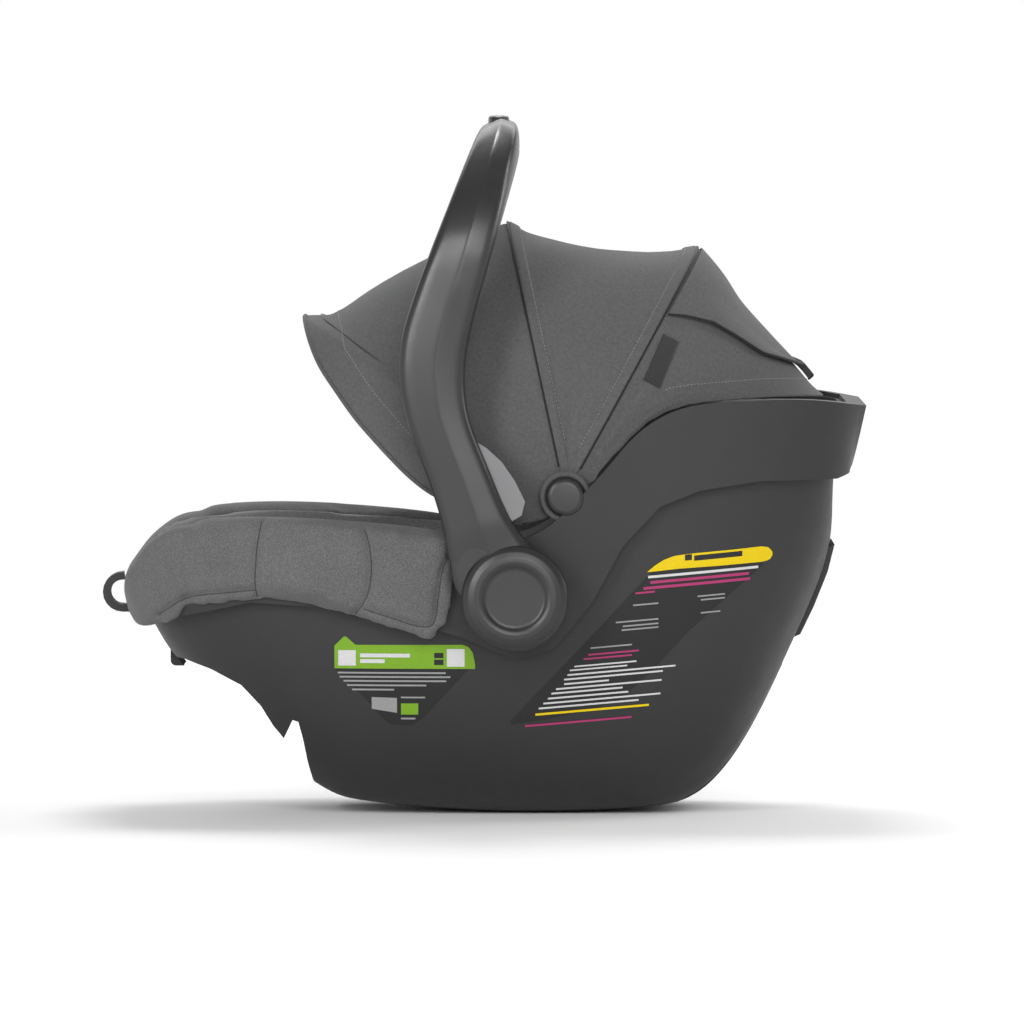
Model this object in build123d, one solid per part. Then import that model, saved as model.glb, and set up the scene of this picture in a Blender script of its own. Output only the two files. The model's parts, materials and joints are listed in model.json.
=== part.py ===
from build123d import *
import math
import os

# Infant car seat carrier: moulded tub with a hooked base-latch foot, swinging U handle,
# three-bow canopy, sliding headrest, five-point harness and rear base release.
# Millimetres. +X points to the head end, +Y is the width, +Z is up.
# The origin is on the floor, under the middle of the carrier's length.

# ---------------------------------------------------------------- driving dimensions
HUB_X, HUB_Z = 28.0, 196.5          # handle axis
CANOPY_X, CANOPY_Z = 72.0, 283.0    # canopy axis
ARM_Y, ARM_HALF = 207.0, 9.5        # middle of a handle arm, and half its thickness
GRIP_Z, GRIP_HALF = 590.5, 15.0     # middle of the grip, and half its thickness
CORNER_Y, CORNER_Z = 92.0, 474.0    # where the handle's corners start and end
HUB_R = 46.0
WALL = 4.0                          # moulded shell
FLANGE = 12.5                       # rim flange stands out by this much
LINER_SIDE, PAD_SIDE = 10.0, 10.0   # foam and padding on the side walls
LINER_DEEP, PAD_DEEP = 24.0, 12.0   # foam and padding under the seat
COVER = 7.5                         # padded cover over the rim
HEADROOM = 40.0                     # the tub sections run this far above the rim before trimming
FLARE, SQUARENESS = 0.22, 4.0       # how far the tub narrows downwards, and how boxy it is
WEBBING, WEBBING_T = 38.0, 1.6

# Tub stations from the foot end to the head end:
# keel x, z; rim x, z; half-width at the rim; seat surface x, z
STATIONS = [
    (-291, 168, -300, 228, 88, -297, 216),
    (-272, 138, -284, 244, 118, -281, 219),
    (-245, 110, -256, 250, 138, -250, 206),
    (-212, 78, -215, 255, 152, -210, 190),
    (-176, 45, -165, 255, 164, -169, 166),
    (-140, 20, -115, 252, 170, -131, 141),
    (-100, 7.9, -60, 248, 175, -85, 97),
    (-50, 2.8, -20, 244.5, 177, -42, 80),
    (0, -0.2, 20, 244, 178, 3, 75),
    (50, -1.2, 50, 253, 178.5, 48, 82),
    (100, -0.2, 82, 280, 179, 93, 98),
    (150, 3.2, 108, 308, 178.5, 128, 128),
    (190, 16, 135, 338, 178, 158, 157),
    (222, 50, 172, 359, 176, 197, 194),
    (262, 125, 215, 365, 171, 240, 234.5),
    (295, 200, 260, 367, 161, 279, 272),
    (307, 262, 300, 365, 142, 305, 297),
    (312, 312, 322, 362, 116, 314, 324),
]
SECTION_POINTS = 16


# ---------------------------------------------------------------- helpers
def prism(points, y0, y1):
    """Closed outline in the side view, run along Y from y0 to y1."""
    wire = Wire.make_polygon([Vector(x, y0, z) for x, z in points], close=True)
    return extrude(Face(wire), amount=y1 - y0, dir=(0, 1, 0))


def cylinder_y(x, z, radius, y0, y1):
    plane = Plane(origin=(x, y0, z), x_dir=(1, 0, 0), z_dir=(0, 1, 0))
    return extrude(plane * Circle(radius), amount=y1 - y0)


def block(x0, x1, y0, y1, z0, z1):
    return Pos((x0 + x1) / 2, (y0 + y1) / 2, (z0 + z1) / 2) * Box(x1 - x0, y1 - y0, z1 - z0)


def other_side(shape):
    return mirror(shape, about=Plane.XZ)


def joined(*shapes):
    """Several separate solids kept together as one node."""
    return Compound(children=[s for shape in shapes for s in shape.solids()])


def polar(angle, radius):
    """A point on the canopy, by its angle back from upright and its distance from the axis."""
    a = math.radians(angle)
    return CANOPY_X + radius * math.sin(a), CANOPY_Z + radius * math.cos(a)


def ribbon(path, width, thickness, side=(0, 1, 0)):
    """Flat strap through the path's points: width along side, thickness square to it."""
    side = Vector(*side).normalized()
    sections = []
    for i, p in enumerate(path):
        a, b = path[max(i - 1, 0)], path[min(i + 1, len(path) - 1)]
        along = (Vector(*b) - Vector(*a)).normalized()
        across = (side - along * side.dot(along)).normalized()
        up = along.cross(across)
        corners = [
            Vector(*p) + across * (sy * width / 2) + up * (sz * thickness / 2)
            for sy, sz in ((-1, -1), (1, -1), (1, 1), (-1, 1))
        ]
        sections.append(Face(Wire.make_polygon(corners, close=True)))
    return loft(sections)


# ---------------------------------------------------------------- the tub's nested surfaces
def tub_section(low, high, half_width):
    """U-shaped section: a boxy superellipse from low on the centre line up to high."""
    low, high = Vector(low[0], 0, low[1]), Vector(high[0], 0, high[1])
    depth = (high - low).length
    up = (high - low).normalized()
    points = []
    for i in range(SECTION_POINTS + 1):
        a = -math.pi / 2 + math.pi * i / SECTION_POINTS
        c, s = abs(math.cos(a)), abs(math.sin(a))
        rise = 1 - (c ** (2 / SQUARENESS) if c > 1e-9 else 0)
        y = math.copysign(half_width * s ** (2 / SQUARENESS), a) * (1 - FLARE * (1 - rise))
        points.append(low + up * (depth * rise) + Vector(0, y, 0))
    parameters = [i / SECTION_POINTS for i in range(SECTION_POINTS + 1)]
    curve = Edge.make_spline(points, parameters=parameters)
    return Face(Wire([curve, Edge.make_line(points[-1], points[0])]))


def tub(inset, deeper=0.0, seat=False):
    """Solid bounded by the tub surface moved in by inset. With seat, its floor is the seat
    surface lowered by deeper, and never closer than the wall and a gap to the keel."""
    sections = []
    for kx, kz, rx, rz, half_width, sx, sz in STATIONS:
        keel, rim, surface = Vector(kx, 0, kz), Vector(rx, 0, rz), Vector(sx, 0, sz)
        low = keel + (rim - keel).normalized() * inset
        if seat:
            up = (rim - surface).normalized()
            drop = min(deeper, (surface - keel).length - WALL - 1.5)
            low = surface - up * max(drop, 0)
        high = rim + (rim - low).normalized() * HEADROOM
        shrink = 1 - inset / 300.0
        low_x = low.X if seat else low.X * shrink
        sections.append(tub_section((low_x, low.Z), (high.X * shrink, high.Z), half_width - inset))
    return loft(sections)


def under_rim(rise, x0=-400.0, x1=400.0):
    """Everything below the rim line raised by rise, between x0 and x1."""
    rim = [Vector(r[2], -260, r[3] + rise) for r in STATIONS]
    rim = [Vector(-400, -260, rim[0].Z - 20)] + rim + [Vector(400, -260, rim[-1].Z - 6)]
    top = Edge.make_spline(rim)
    wire = Wire([
        top,
        Edge.make_line(rim[-1], (400, -260, -50)),
        Edge.make_line((400, -260, -50), (-400, -260, -50)),
        Edge.make_line((-400, -260, -50), rim[0]),
    ])
    body = extrude(Face(wire), amount=520, dir=(0, 1, 0))
    return body & block(x0, x1, -260, 260, -60, 460)


OUTER = tub(0)
INNER = tub(WALL)
RIM_OUTER = tub(-FLANGE)
COVER_OUTER = tub(-FLANGE - COVER)
LINER_OUTER = tub(WALL + 0.5, LINER_DEEP + PAD_DEEP, seat=True)
LINER_INNER = tub(WALL + LINER_SIDE, PAD_DEEP, seat=True)
SEAT_SURFACE = tub(WALL + LINER_SIDE + PAD_SIDE, 0, seat=True)
BELOW_RIM = under_rim(0)

FLANGE_REGION = [
    (-360, 165), (-285, 172), (-246, 180), (-202, 190), (-105, 184), (-60, 172), (-20, 161),
    (28, 141), (62, 150), (95, 190), (122, 240), (154, 274), (189, 288), (241, 296),
    (309, 297), (320, 301), (329, 312), (334, 332), (337, 368), (360, 480), (-360, 480),
]
# underside of the foot end: flat toe, hook and the front of the leg, cut straight across
FOOT_CUT = [
    (-400, 137), (-262, 136.5), (-238, 128.5), (-211, 115), (-194, 97), (-183, 79), (-174, 68),
    (-166, 85), (-161, 83.5), (-157, 68), (-153, 46), (-147.5, 24), (-141, 15), (-128, 9), (-128, -40),
    (-400, -40),
]
FOOT_WALL = [
    (-400, 141), (-262, 140.5), (-236, 132.5), (-208, 119), (-190, 101), (-186, 92), (-156, 90),
    (-152, 69), (-148, 46), (-142.5, 25), (-137, 18), (-120, 10), (-120, -40), (-400, -40),
]
RELEASE_POCKET = [(292, 236), (326, 240), (326, 130), (252, 130), (262, 150)]
RELEASE_POCKET_WALL = [(286, 242), (330, 246), (330, 120), (244, 124), (256, 150)]
RELEASE_HALF = 64.0
LATCH_Y = 62.0


def make_shell():
    """One moulding: tub, rim flange, hub bosses, hooked foot and rear pocket."""
    inside = INNER - prism(FOOT_WALL, -200, 200)
    inside = inside - prism(RELEASE_POCKET_WALL, -RELEASE_HALF - 5, RELEASE_HALF + 5)
    shell = OUTER + (RIM_OUTER & prism(FLANGE_REGION, -260, 260)) - inside
    boss = cylinder_y(HUB_X, HUB_Z, 36, 150, ARM_Y - ARM_HALF - 0.8) - INNER
    shell = (shell + boss + other_side(boss)) & BELOW_RIM
    shell = shell - prism(FOOT_CUT, -260, 260)
    shell = shell - prism(RELEASE_POCKET, -RELEASE_HALF, RELEASE_HALF)
    shell = shell & block(-400, 400, -260, 260, 0, 460)
    for side in (-1, 1):
        y = side * LATCH_Y
        shell = shell - block(178, 226, y - 5, y + 5, 0, 66)
        near, far = sorted((side * 170, side * 210))
        shell = shell - cylinder_y(HUB_X, HUB_Z, 12.05, near, far)
    return shell


def make_foam_liner():
    """Energy-absorbing foam between the shell and the padding."""
    liner = (LINER_OUTER - LINER_INNER) & under_rim(-4) & INNER
    pocket = RELEASE_HALF + 5
    return liner - prism(FOOT_WALL, -200, 200) - prism(RELEASE_POCKET_WALL, -pocket, pocket)


def make_seat_pad():
    padding = (LINER_INNER - SEAT_SURFACE) & INNER
    front = padding & under_rim(COVER, -400, 0)
    back = padding & under_rim(-3, 0, 400)
    return front + back


COVER_REGION = [
    (-400, 150), (-318, 158), (-298, 156), (-276, 168), (-246, 184), (-202, 192), (-159, 196),
    (-115, 188), (-72, 173), (-50, 163), (-37, 160), (-26, 172), (-21, 190), (-19, 215),
    (-24, 262), (-24, 400), (-400, 400),
]


def make_seat_cover():
    outside = COVER_OUTER & under_rim(COVER) & prism(COVER_REGION, -260, 260)
    return outside - (tub(-FLANGE - 0.3) & under_rim(0.3)) - LINER_INNER


# ---------------------------------------------------------------- handle
# side-view middle x, z and width of the arm, from above the hub to the corner
ARM_STATIONS = [
    (14, 214, 74), (0, 245, 63), (-8, 268, 55.5), (-19, 299, 52), (-31, 330, 51),
    (-39.5, 357, 53), (-43.5, 386, 56), (-42, 413, 57), (-35, 442, 55),
]
CORNER_STEPS = 5
# outline of the arm as shares of half its width and half its thickness, front edge first
ARM_OUTLINE = [
    (-1.0, -0.3), (-0.99, 0.1), (-0.88, 0.5), (-0.5, 0.84), (-0.08, 1.0), (0.3, 0.93),
    (0.74, 0.74), (0.95, 0.35), (1.0, -0.02), (1.0, -0.3),
]
ARM_INSIDE = [(-1.0, -0.33), (-0.93, -0.75), (-0.6, -1.0), (0.0, -1.0), (0.6, -1.0), (0.93, -0.75), (1.0, -0.33)]


def handle_path():
    """(middle point, width, half thickness, outward direction) from one hub over to the other."""
    half = [(Vector(x, ARM_Y, z), w, ARM_HALF, Vector(0, 1, 0)) for x, z, w in ARM_STATIONS]
    reach, climb = ARM_Y - CORNER_Y, GRIP_Z - CORNER_Z
    for i in range(CORNER_STEPS + 1):
        a = math.pi / 2 * i / CORNER_STEPS
        share = math.sin(a)
        middle = Vector(
            -25 + 39 * share, CORNER_Y + reach * math.cos(a), CORNER_Z + climb * share
        )
        half.append((
            middle, 52 - 16 * i / CORNER_STEPS,
            ARM_HALF + (GRIP_HALF - ARM_HALF) * share, Vector(0, math.cos(a), math.sin(a)),
        ))
    centre = (Vector(14, 0, GRIP_Z), 36, GRIP_HALF, Vector(0, 0, 1))
    back = [(Vector(m.X, -m.Y, m.Z), w, t, Vector(0, -o.Y, o.Z)) for m, w, t, o in reversed(half)]
    return half + [centre] + back


def handle_loft(outline):
    path = handle_path()
    sections = []
    count = len(outline)
    for i, (middle, width, thick, outward) in enumerate(path):
        before, after = path[max(i - 1, 0)][0], path[min(i + 1, len(path) - 1)][0]
        along = (after - before).normalized()
        outward = (outward - along * outward.dot(along)).normalized()
        across = outward.cross(along).normalized()
        if across.X < 0:
            across = across * -1
        points = [middle + across * (u * width / 2) + outward * (v * thick) for u, v in outline]
        parameters = [j / (count - 1) for j in range(count)]
        curve = Edge.make_spline(points, parameters=parameters)
        sections.append(Face(Wire([curve, Edge.make_line(points[-1], points[0])])))
    return loft(sections)


# squeeze paddle on the back edge of each arm: outline in the side view and its travel direction
PADDLE = [(-9, 334), (4, 326), (17, 314), (28, 298), (37, 280), (34, 268), (24, 262), (-4, 268), (-20, 310), (-18, 332)]
PADDLE_TRAVEL = 5.0
PADDLE_DIR = Vector(-0.933, 0, -0.36)
PADDLE_Y0, PADDLE_Y1 = ARM_Y - 7.0, ARM_Y + 1.0
CAVITY_R, CAVITY_Y0, CAVITY_Y1 = 39.0, ARM_Y - 7.0, ARM_Y + 6.2
PARTING = ARM_Y - 0.315 * ARM_HALF
BUTTON_X, BUTTON_LONG, BUTTON_WIDE = 14.0, 46.0, 20.0


def widened(outline, by):
    """The outline moved out from its middle by a fixed clearance."""
    cx = sum(p[0] for p in outline) / len(outline)
    cz = sum(p[1] for p in outline) / len(outline)
    out = []
    for x, z in outline:
        d = math.hypot(x - cx, z - cz)
        out.append((x + (x - cx) / d * by, z + (z - cz) / d * by))
    return out


def paddle_pocket():
    swept = widened(PADDLE, 0.9)
    moved = [(x + PADDLE_DIR.X * (PADDLE_TRAVEL + 0.6), z + PADDLE_DIR.Z * (PADDLE_TRAVEL + 0.6)) for x, z in swept]
    return prism(swept, PADDLE_Y0 - 0.6, PADDLE_Y1 + 0.6) + prism(moved, PADDLE_Y0 - 0.6, PADDLE_Y1 + 0.6)


def hub_hollow():
    """Room inside the hub for the lock ring, and the slot that the lock pawl runs in."""
    slot = block(HUB_X - 8.2, HUB_X + 8.2, CAVITY_Y0, CAVITY_Y1 - 4, HUB_Z, HUB_Z + 45)
    return cylinder_y(HUB_X, HUB_Z, CAVITY_R, CAVITY_Y0, 215) + slot


def button_slot(clearance, z0, z1):
    plane = Plane(origin=(BUTTON_X, 0, z0), x_dir=(0, 1, 0), z_dir=(0, 0, 1))
    return extrude(plane * SlotOverall(BUTTON_LONG + 2 * clearance, BUTTON_WIDE + 2 * clearance), amount=z1 - z0)


def make_handle_outer():
    shell = handle_loft(ARM_OUTLINE)
    hub = cylinder_y(HUB_X, HUB_Z, HUB_R, PARTING, ARM_Y + 6.2)
    shell = shell + hub + other_side(hub)
    cap_seat = cylinder_y(HUB_X, HUB_Z, HUB_R + 0.3, ARM_Y + 6.2, 240)
    for cut in (hub_hollow(), paddle_pocket(), cap_seat):
        shell = shell - cut - other_side(cut)
    return shell - button_slot(0.4, GRIP_Z - 4, GRIP_Z + 30)


def make_handle_inner():
    shell = handle_loft(ARM_INSIDE)
    hub = cylinder_y(HUB_X, HUB_Z, HUB_R, ARM_Y - ARM_HALF, PARTING - 0.3)
    bore = cylinder_y(HUB_X, HUB_Z, 14.3, 190, 230)
    shell = shell + hub + other_side(hub)
    for cut in (hub_hollow(), paddle_pocket(), bore):
        shell = shell - cut - other_side(cut)
    return shell


def make_hub_cap():
    """Domed cap with a dished middle, on the +Y side."""
    base = ARM_Y + 6.4
    profile = [
        (0, base), (HUB_R, base), (HUB_R, base + 1.8), (44, base + 4.2), (39.5, base + 5.9),
        (33.5, base + 6.4), (31, base + 5.6), (24.5, base + 5.2), (22.5, base + 4.0), (0, base + 3.8),
    ]
    face = Face(Wire.make_polygon([Vector(HUB_X + r, y, HUB_Z) for r, y in profile], close=True))
    return revolve(face, axis=Axis((HUB_X, 0, HUB_Z), (0, 1, 0)))


def make_pivot_post():
    """Bushing pressed into the shell's boss: the handle's inner half turns on its wide part."""
    post = cylinder_y(HUB_X, HUB_Z, 12, 176, 208)
    collar = cylinder_y(HUB_X, HUB_Z, 14, ARM_Y - ARM_HALF - 0.7, CAVITY_Y0 + 0.4)
    return post + collar


def make_lock_ring():
    """Toothed ring keyed to the post inside the hub."""
    teeth, outer, root = 24, 25.0, 22.5
    points = []
    for i in range(teeth):
        for share, radius in ((0.0, root), (0.25, root), (0.5, outer), (0.75, outer)):
            a = 2 * math.pi * (i + share) / teeth
            points.append((HUB_X + radius * math.cos(a), HUB_Z + radius * math.sin(a)))
    ring = prism(points, CAVITY_Y0 + 0.8, CAVITY_Y0 + 7)
    return ring - cylinder_y(HUB_X, HUB_Z, 12.05, 190, 230)


def make_lock_pawl():
    """Sliding pawl above the ring; it lifts along the arm when the paddle is squeezed."""
    y0, y1 = CAVITY_Y0 + 0.8, CAVITY_Y0 + 7
    body = block(HUB_X - 7.5, HUB_X + 7.5, y0, y1, HUB_Z + 28, HUB_Z + 37)
    tip = block(HUB_X - 2.2, HUB_X + 2.2, y0, y1, HUB_Z + 25.5, HUB_Z + 28)
    return body + tip


def make_pivot_screw():
    """Screw and washer holding the lock ring on the post."""
    washer = cylinder_y(HUB_X, HUB_Z, 17, 208, 209.4)
    head = cylinder_y(HUB_X, HUB_Z, 7, 209.4, 212)
    socket = extrude(
        Plane(origin=(HUB_X, 210.4, HUB_Z), x_dir=(1, 0, 0), z_dir=(0, 1, 0)) * RegularPolygon(3, 6), amount=4
    )
    return washer + (head - socket)


def make_paddle():
    return prism(PADDLE, PADDLE_Y0, PADDLE_Y1)


def make_top_button():
    stem = button_slot(0, GRIP_Z, GRIP_Z + 17.5)
    crown = button_slot(-1.6, GRIP_Z + 17.5, GRIP_Z + 21.5)
    return stem + crown


# ---------------------------------------------------------------- canopy
FABRIC = 1.6
BOW_THICK, BOW_WIDE = 2.4, 8.0
FABRIC_HALF = 172.0
# angle back from upright and outer height of the fabric at each line across the canopy
FRONT_LINES = [(-56.4, 274), (-44, 246), (-30, 238), (-12.1, 240)]
MID_LINES = [(-12.1, 240), (8.2, 214), (28.9, 243)]
REAR_LINES = [(28.9, 243), (43, 227), (60, 234), (76, 262)]
BOWS = {"front": (-55.2, 264.2, 169.6), "mid": (-12.1, 235.4, 166.9), "rear": (28.9, 237.5, 164.2)}
ARCH = 2.8
ARCH_STEPS = 14
FOOT = 0.06      # the fabric starts this share of its height above the axis


def arch_points(angle, height, half_width, start=FOOT, end=None):
    """Points of an arch in the plane at angle, from the -Y foot over to the +Y foot."""
    low = math.asin(start ** (ARCH / 2))
    points = []
    for i in range(ARCH_STEPS + 1):
        a = low + (math.pi - 2 * low) * i / ARCH_STEPS
        h = height * math.sin(a) ** (2 / ARCH)
        y = -math.copysign(half_width * abs(math.cos(a)) ** (2 / ARCH), math.cos(a))
        x, z = polar(angle, h)
        points.append(Vector(x, y, z))
    return points


def arch_band(angle, height, half_width, thick, start=FOOT):
    """Face of an arch-shaped band, thick inwards."""
    outer = arch_points(angle, height, half_width, start)
    inner = arch_points(angle, height - thick, half_width - thick, start * height / (height - thick))
    parameters = [i / ARCH_STEPS for i in range(ARCH_STEPS + 1)]
    return Face(Wire([
        Edge.make_spline(outer, parameters=parameters),
        Edge.make_line(outer[-1], inner[-1]),
        Edge.make_spline(list(reversed(inner)), parameters=parameters),
        Edge.make_line(inner[0], outer[0]),
    ]))


def make_panel(lines, lift=0.0, thick=FABRIC, start=FOOT):
    return loft([arch_band(a, h + lift, FABRIC_HALF + lift, thick, start) for a, h in lines])


def make_bow(name):
    """Flat bow with a round eye at each foot."""
    angle, height, half_width = BOWS[name]
    a = math.radians(angle)
    face = arch_band(angle, height, half_width, BOW_THICK, 0.02)
    along = Vector(math.cos(a), 0, -math.sin(a))
    band = extrude(face.moved(Location(along * (-BOW_WIDE / 2))), amount=BOW_WIDE, dir=tuple(along))
    eye = cylinder_y(CANOPY_X, CANOPY_Z, 9, half_width - BOW_THICK, half_width)
    bow = band + eye + other_side(eye)
    hole = cylinder_y(CANOPY_X, CANOPY_Z, 4.1, -200, 200)
    return bow - hole


def make_canopy_pivot():
    """Round canopy cap, its bracket on the rim and the pin that the bows turn on."""
    pin = cylinder_y(CANOPY_X, CANOPY_Z, 4, 160.5, 178)
    head = cylinder_y(CANOPY_X, CANOPY_Z, 7, 158, 160.5)
    plate = cylinder_y(CANOPY_X, CANOPY_Z, 21, 175, 179)
    cap = cylinder_y(CANOPY_X, CANOPY_Z, 19, 179, 187)
    cap = chamfer(cap.edges().filter_by(GeomType.CIRCLE).group_by(Axis.Y)[-1], 3)
    stem = block(CANOPY_X - 13, CANOPY_X + 13, 175, 179, CANOPY_Z - 34, CANOPY_Z)
    return (pin + head + plate + stem + cap) - (tub(-FLANGE) & under_rim(0.2))


def make_vent_flap():
    """Free fabric flap over the back panel, narrower towards its hem."""
    return loft([
        arch_band(a, h + 3.4, FABRIC_HALF + 3.4, 1.4, s)
        for a, h, s in ((30.2, 243, 0.75), (43, 227, 0.85), (60, 234, 0.94), (64, 241, 0.955))
    ])


def make_canopy_tag():
    """Small folded label sewn into the rear bow's seam."""
    x0, z0 = polar(31.0, 116)
    x1, z1 = polar(29.8, 166)
    x2, z2 = polar(36.0, 170)
    x3, z3 = polar(40.0, 122)
    return prism([(x0, z0), (x1, z1), (x2, z2), (x3, z3)], -175.2, -173.4)


# ---------------------------------------------------------------- headrest
HEADREST_START = 46.0        # distance of the headrest's lower edge up the slope
SLOPE = math.atan2(234.5 - 153, 240 - 154)


def slope_point(along, above, y=0.0):
    """A point by its distance up the seat back from the hip end, and above the padding."""
    return Vector(
        154 + along * math.cos(SLOPE) - above * math.sin(SLOPE), y,
        153 + along * math.sin(SLOPE) + above * math.cos(SLOPE),
    )


def slope_prism(outline, start, length):
    """Outline across the seat back (y, above), run up the slope."""
    origin = slope_point(start, 0)
    wire = Wire.make_polygon([slope_point(start, h, y) for y, h in outline], close=True)
    return extrude(Face(wire), amount=length, dir=(math.cos(SLOPE), 0, math.sin(SLOPE)))


def make_headrest_board():
    return slope_prism([(-60, 4.5), (60, 4.5), (60, 7.5), (-60, 7.5)], HEADREST_START + 2, 92)


def make_headrest_pad():
    outline = [
        (-88, 25), (-80, 17), (-60, 8), (60, 8), (80, 17), (88, 25), (95, 42), (94, 60), (88, 64),
        (80, 61), (68, 30), (50, 22), (-50, 22), (-68, 30), (-80, 61), (-88, 64), (-94, 60), (-95, 42),
    ]
    return slope_prism(outline, HEADREST_START, 96)


# ---------------------------------------------------------------- harness
SHOULDER_Y = 44.0
TONGUE_Y = 12.0
BUCKLE = (-22.0, 112.0)      # middle of the buckle, side view
BUCKLE_TILT = 25.0
CHEST_CLIP = (91.7, 144.4)


def shoulder_path(side):
    """Middle line of a shoulder strap: out of the seat back, over the pad, down to its tongue."""
    points = []
    for along, above in ((40, 5), (26, 12), (0, 15), (-30, 20)):
        p = slope_point(along, above)
        points.append((p.X, p.Z))
    points += [(70, 139.5), (22, 132)]
    spread = [1.0, 1.0, 0.98, 0.91, 0.79, 0.71]
    return [(x, side * SHOULDER_Y * s, z) for (x, z), s in zip(points, spread)]


def make_shoulder_strap(side):
    return ribbon(shoulder_path(side), 30, WEBBING_T)


def make_shoulder_pad(side):
    path = shoulder_path(side)
    return ribbon(path[1:4], 52, 9) - ribbon(path, 31, WEBBING_T + 0.6)


def make_hip_strap(side):
    """From the seat's side to the buckle's tongue, flat across the hips."""
    path = [(22, side * 96, 106), (20, side * 78, 102), (17, side * 57, 112), (13, side * 38, 123)]
    return ribbon(path, 26, WEBBING_T, side=(1, 0, 0.25))


def buckle_frame():
    """Plane of the buckle: x down the buckle towards the crotch strap, z out of its face."""
    a = math.radians(BUCKLE_TILT)
    return Plane(
        origin=(BUCKLE[0], 0, BUCKLE[1]), x_dir=(-math.cos(a), 0, -math.sin(a)),
        z_dir=(-math.sin(a), 0, math.cos(a)),
    )


def rounded_slab(plane, long, wide, thick, radius, offset=(0, 0), lift=0.0):
    sketch = Pos(offset[0], offset[1]) * RectangleRounded(long, wide, radius)
    return plane * (Pos(0, 0, lift) * extrude(sketch, amount=thick))


def make_buckle_body():
    plane = buckle_frame()
    body = rounded_slab(plane, 62, 46, 18, 9, lift=-9)
    pocket = rounded_slab(plane, 30.8, 26.8, 12, 5, offset=(12, 0), lift=-1)
    mouth = rounded_slab(plane, 26, 30, 5.2, 1, offset=(-24, 0), lift=-2.6)
    strap_slot = rounded_slab(plane, 12, 40, 5, 1, offset=(32, 0), lift=-2.5)
    return body - pocket - mouth - strap_slot


def make_buckle_button():
    return rounded_slab(buckle_frame(), 30, 26, 11.5, 4.6, offset=(12, 0), lift=1.5)


def make_tongue(side):
    """Half tongue that clicks into the buckle, with a slot for the webbing."""
    plane = buckle_frame()
    blade = rounded_slab(plane, 22, 13, 2.4, 1, offset=(-24, side * 7.2), lift=-1.2)
    head = rounded_slab(plane, 16, 34, 6, 3, offset=(-40.5, side * 17.6), lift=-3)
    slot = rounded_slab(plane, 4.5, 27, 8, 1, offset=(-41, side * 18.6), lift=-4)
    return (blade + head) - slot


def make_crotch_strap():
    top = buckle_frame().from_local_coords(Vector(28, 0, 0))
    path = [(-74, 0, 94.5), (-70, 0, 96.5), (-63, 0, 97.5), (top.X, 0, top.Z)]
    return ribbon(path, WEBBING, WEBBING_T)


def make_chest_clip(side):
    """One half of the chest clip, lying on its shoulder strap."""
    tilt = math.atan2(7.4, 48.4)
    plane = Plane(
        origin=(CHEST_CLIP[0], 0, CHEST_CLIP[1]), x_dir=(math.cos(tilt), 0, math.sin(tilt)),
        z_dir=(-math.sin(tilt), 0, math.cos(tilt)),
    )
    if side < 0:
        body = rounded_slab(plane, 30, 52, 7, 5, offset=(0, -26.4))
        socket = rounded_slab(plane, 17, 24, 3.6, 1, offset=(0, -8), lift=1.7)
        return body - socket
    body = rounded_slab(plane, 30, 52, 7, 5, offset=(0, 26.4))
    tongue = rounded_slab(plane, 16, 26, 3, 1, offset=(0, -6), lift=2)
    return body + tongue


ADJUSTER = (-228.0, 199.6)
ADJUSTER_TILT = math.atan2(190 - 206, 40)


def adjuster_plane():
    """Lies on the padding at the foot end: x runs down the slope, z out of the padding."""
    a = ADJUSTER_TILT
    return Plane(
        origin=(ADJUSTER[0], 0, ADJUSTER[1]), x_dir=(math.cos(a), 0, math.sin(a)),
        z_dir=(-math.sin(a), 0, math.cos(a)),
    )


def make_adjuster_body():
    """Webbing lock set on the padding at the foot end."""
    plane = adjuster_plane()
    body = rounded_slab(plane, 44, 40, 9, 5, lift=0)
    pocket = rounded_slab(plane, 20.8, 24.8, 10, 4, offset=(-6, 0), lift=3)
    slot = rounded_slab(plane, 60, 27, 2.4, 0.8, offset=(10, 0), lift=0.6)
    return body - pocket - slot


def make_adjuster_button():
    return rounded_slab(adjuster_plane(), 20, 24, 7.2, 3.6, offset=(-6, 0), lift=4.6)


LOOP_X, LOOP_Z, LOOP_R, LOOP_HALF = -317.8, 192.0, 14.2, 3.4


def make_pull_loop():
    """Pull loop of doubled webbing at the foot end: a half ring with two straight tails."""
    outer = [(LOOP_X + 6, LOOP_Z + LOOP_R + LOOP_HALF)]
    steps = 10
    for i in range(steps + 1):
        a = math.pi / 2 + math.pi * i / steps
        outer.append((LOOP_X + (LOOP_R + LOOP_HALF) * math.cos(a), LOOP_Z + (LOOP_R + LOOP_HALF) * math.sin(a)))
    outer.append((LOOP_X + 6, LOOP_Z - LOOP_R - LOOP_HALF))
    inner = [(LOOP_X + 6, LOOP_Z - LOOP_R + LOOP_HALF)]
    for i in range(steps + 1):
        a = -math.pi / 2 - math.pi * i / steps
        inner.append((LOOP_X + (LOOP_R - LOOP_HALF) * math.cos(a), LOOP_Z + (LOOP_R - LOOP_HALF) * math.sin(a)))
    inner.append((LOOP_X + 6, LOOP_Z + LOOP_R - LOOP_HALF))
    return prism(outer + inner, -12, 12) - COVER_OUTER


# ---------------------------------------------------------------- base latch and release
AXLE = (196.0, 100.0)
# hook outline measured from the shaft: x, z
HOOK = [
    (-8, 8), (8, 8), (9, -24), (14, -44), (10, -62), (-4, -69), (-16, -64), (-17, -54), (-9, -55),
    (-3, -56), (0, -46), (-4, -28), (-9, -22),
]


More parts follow.
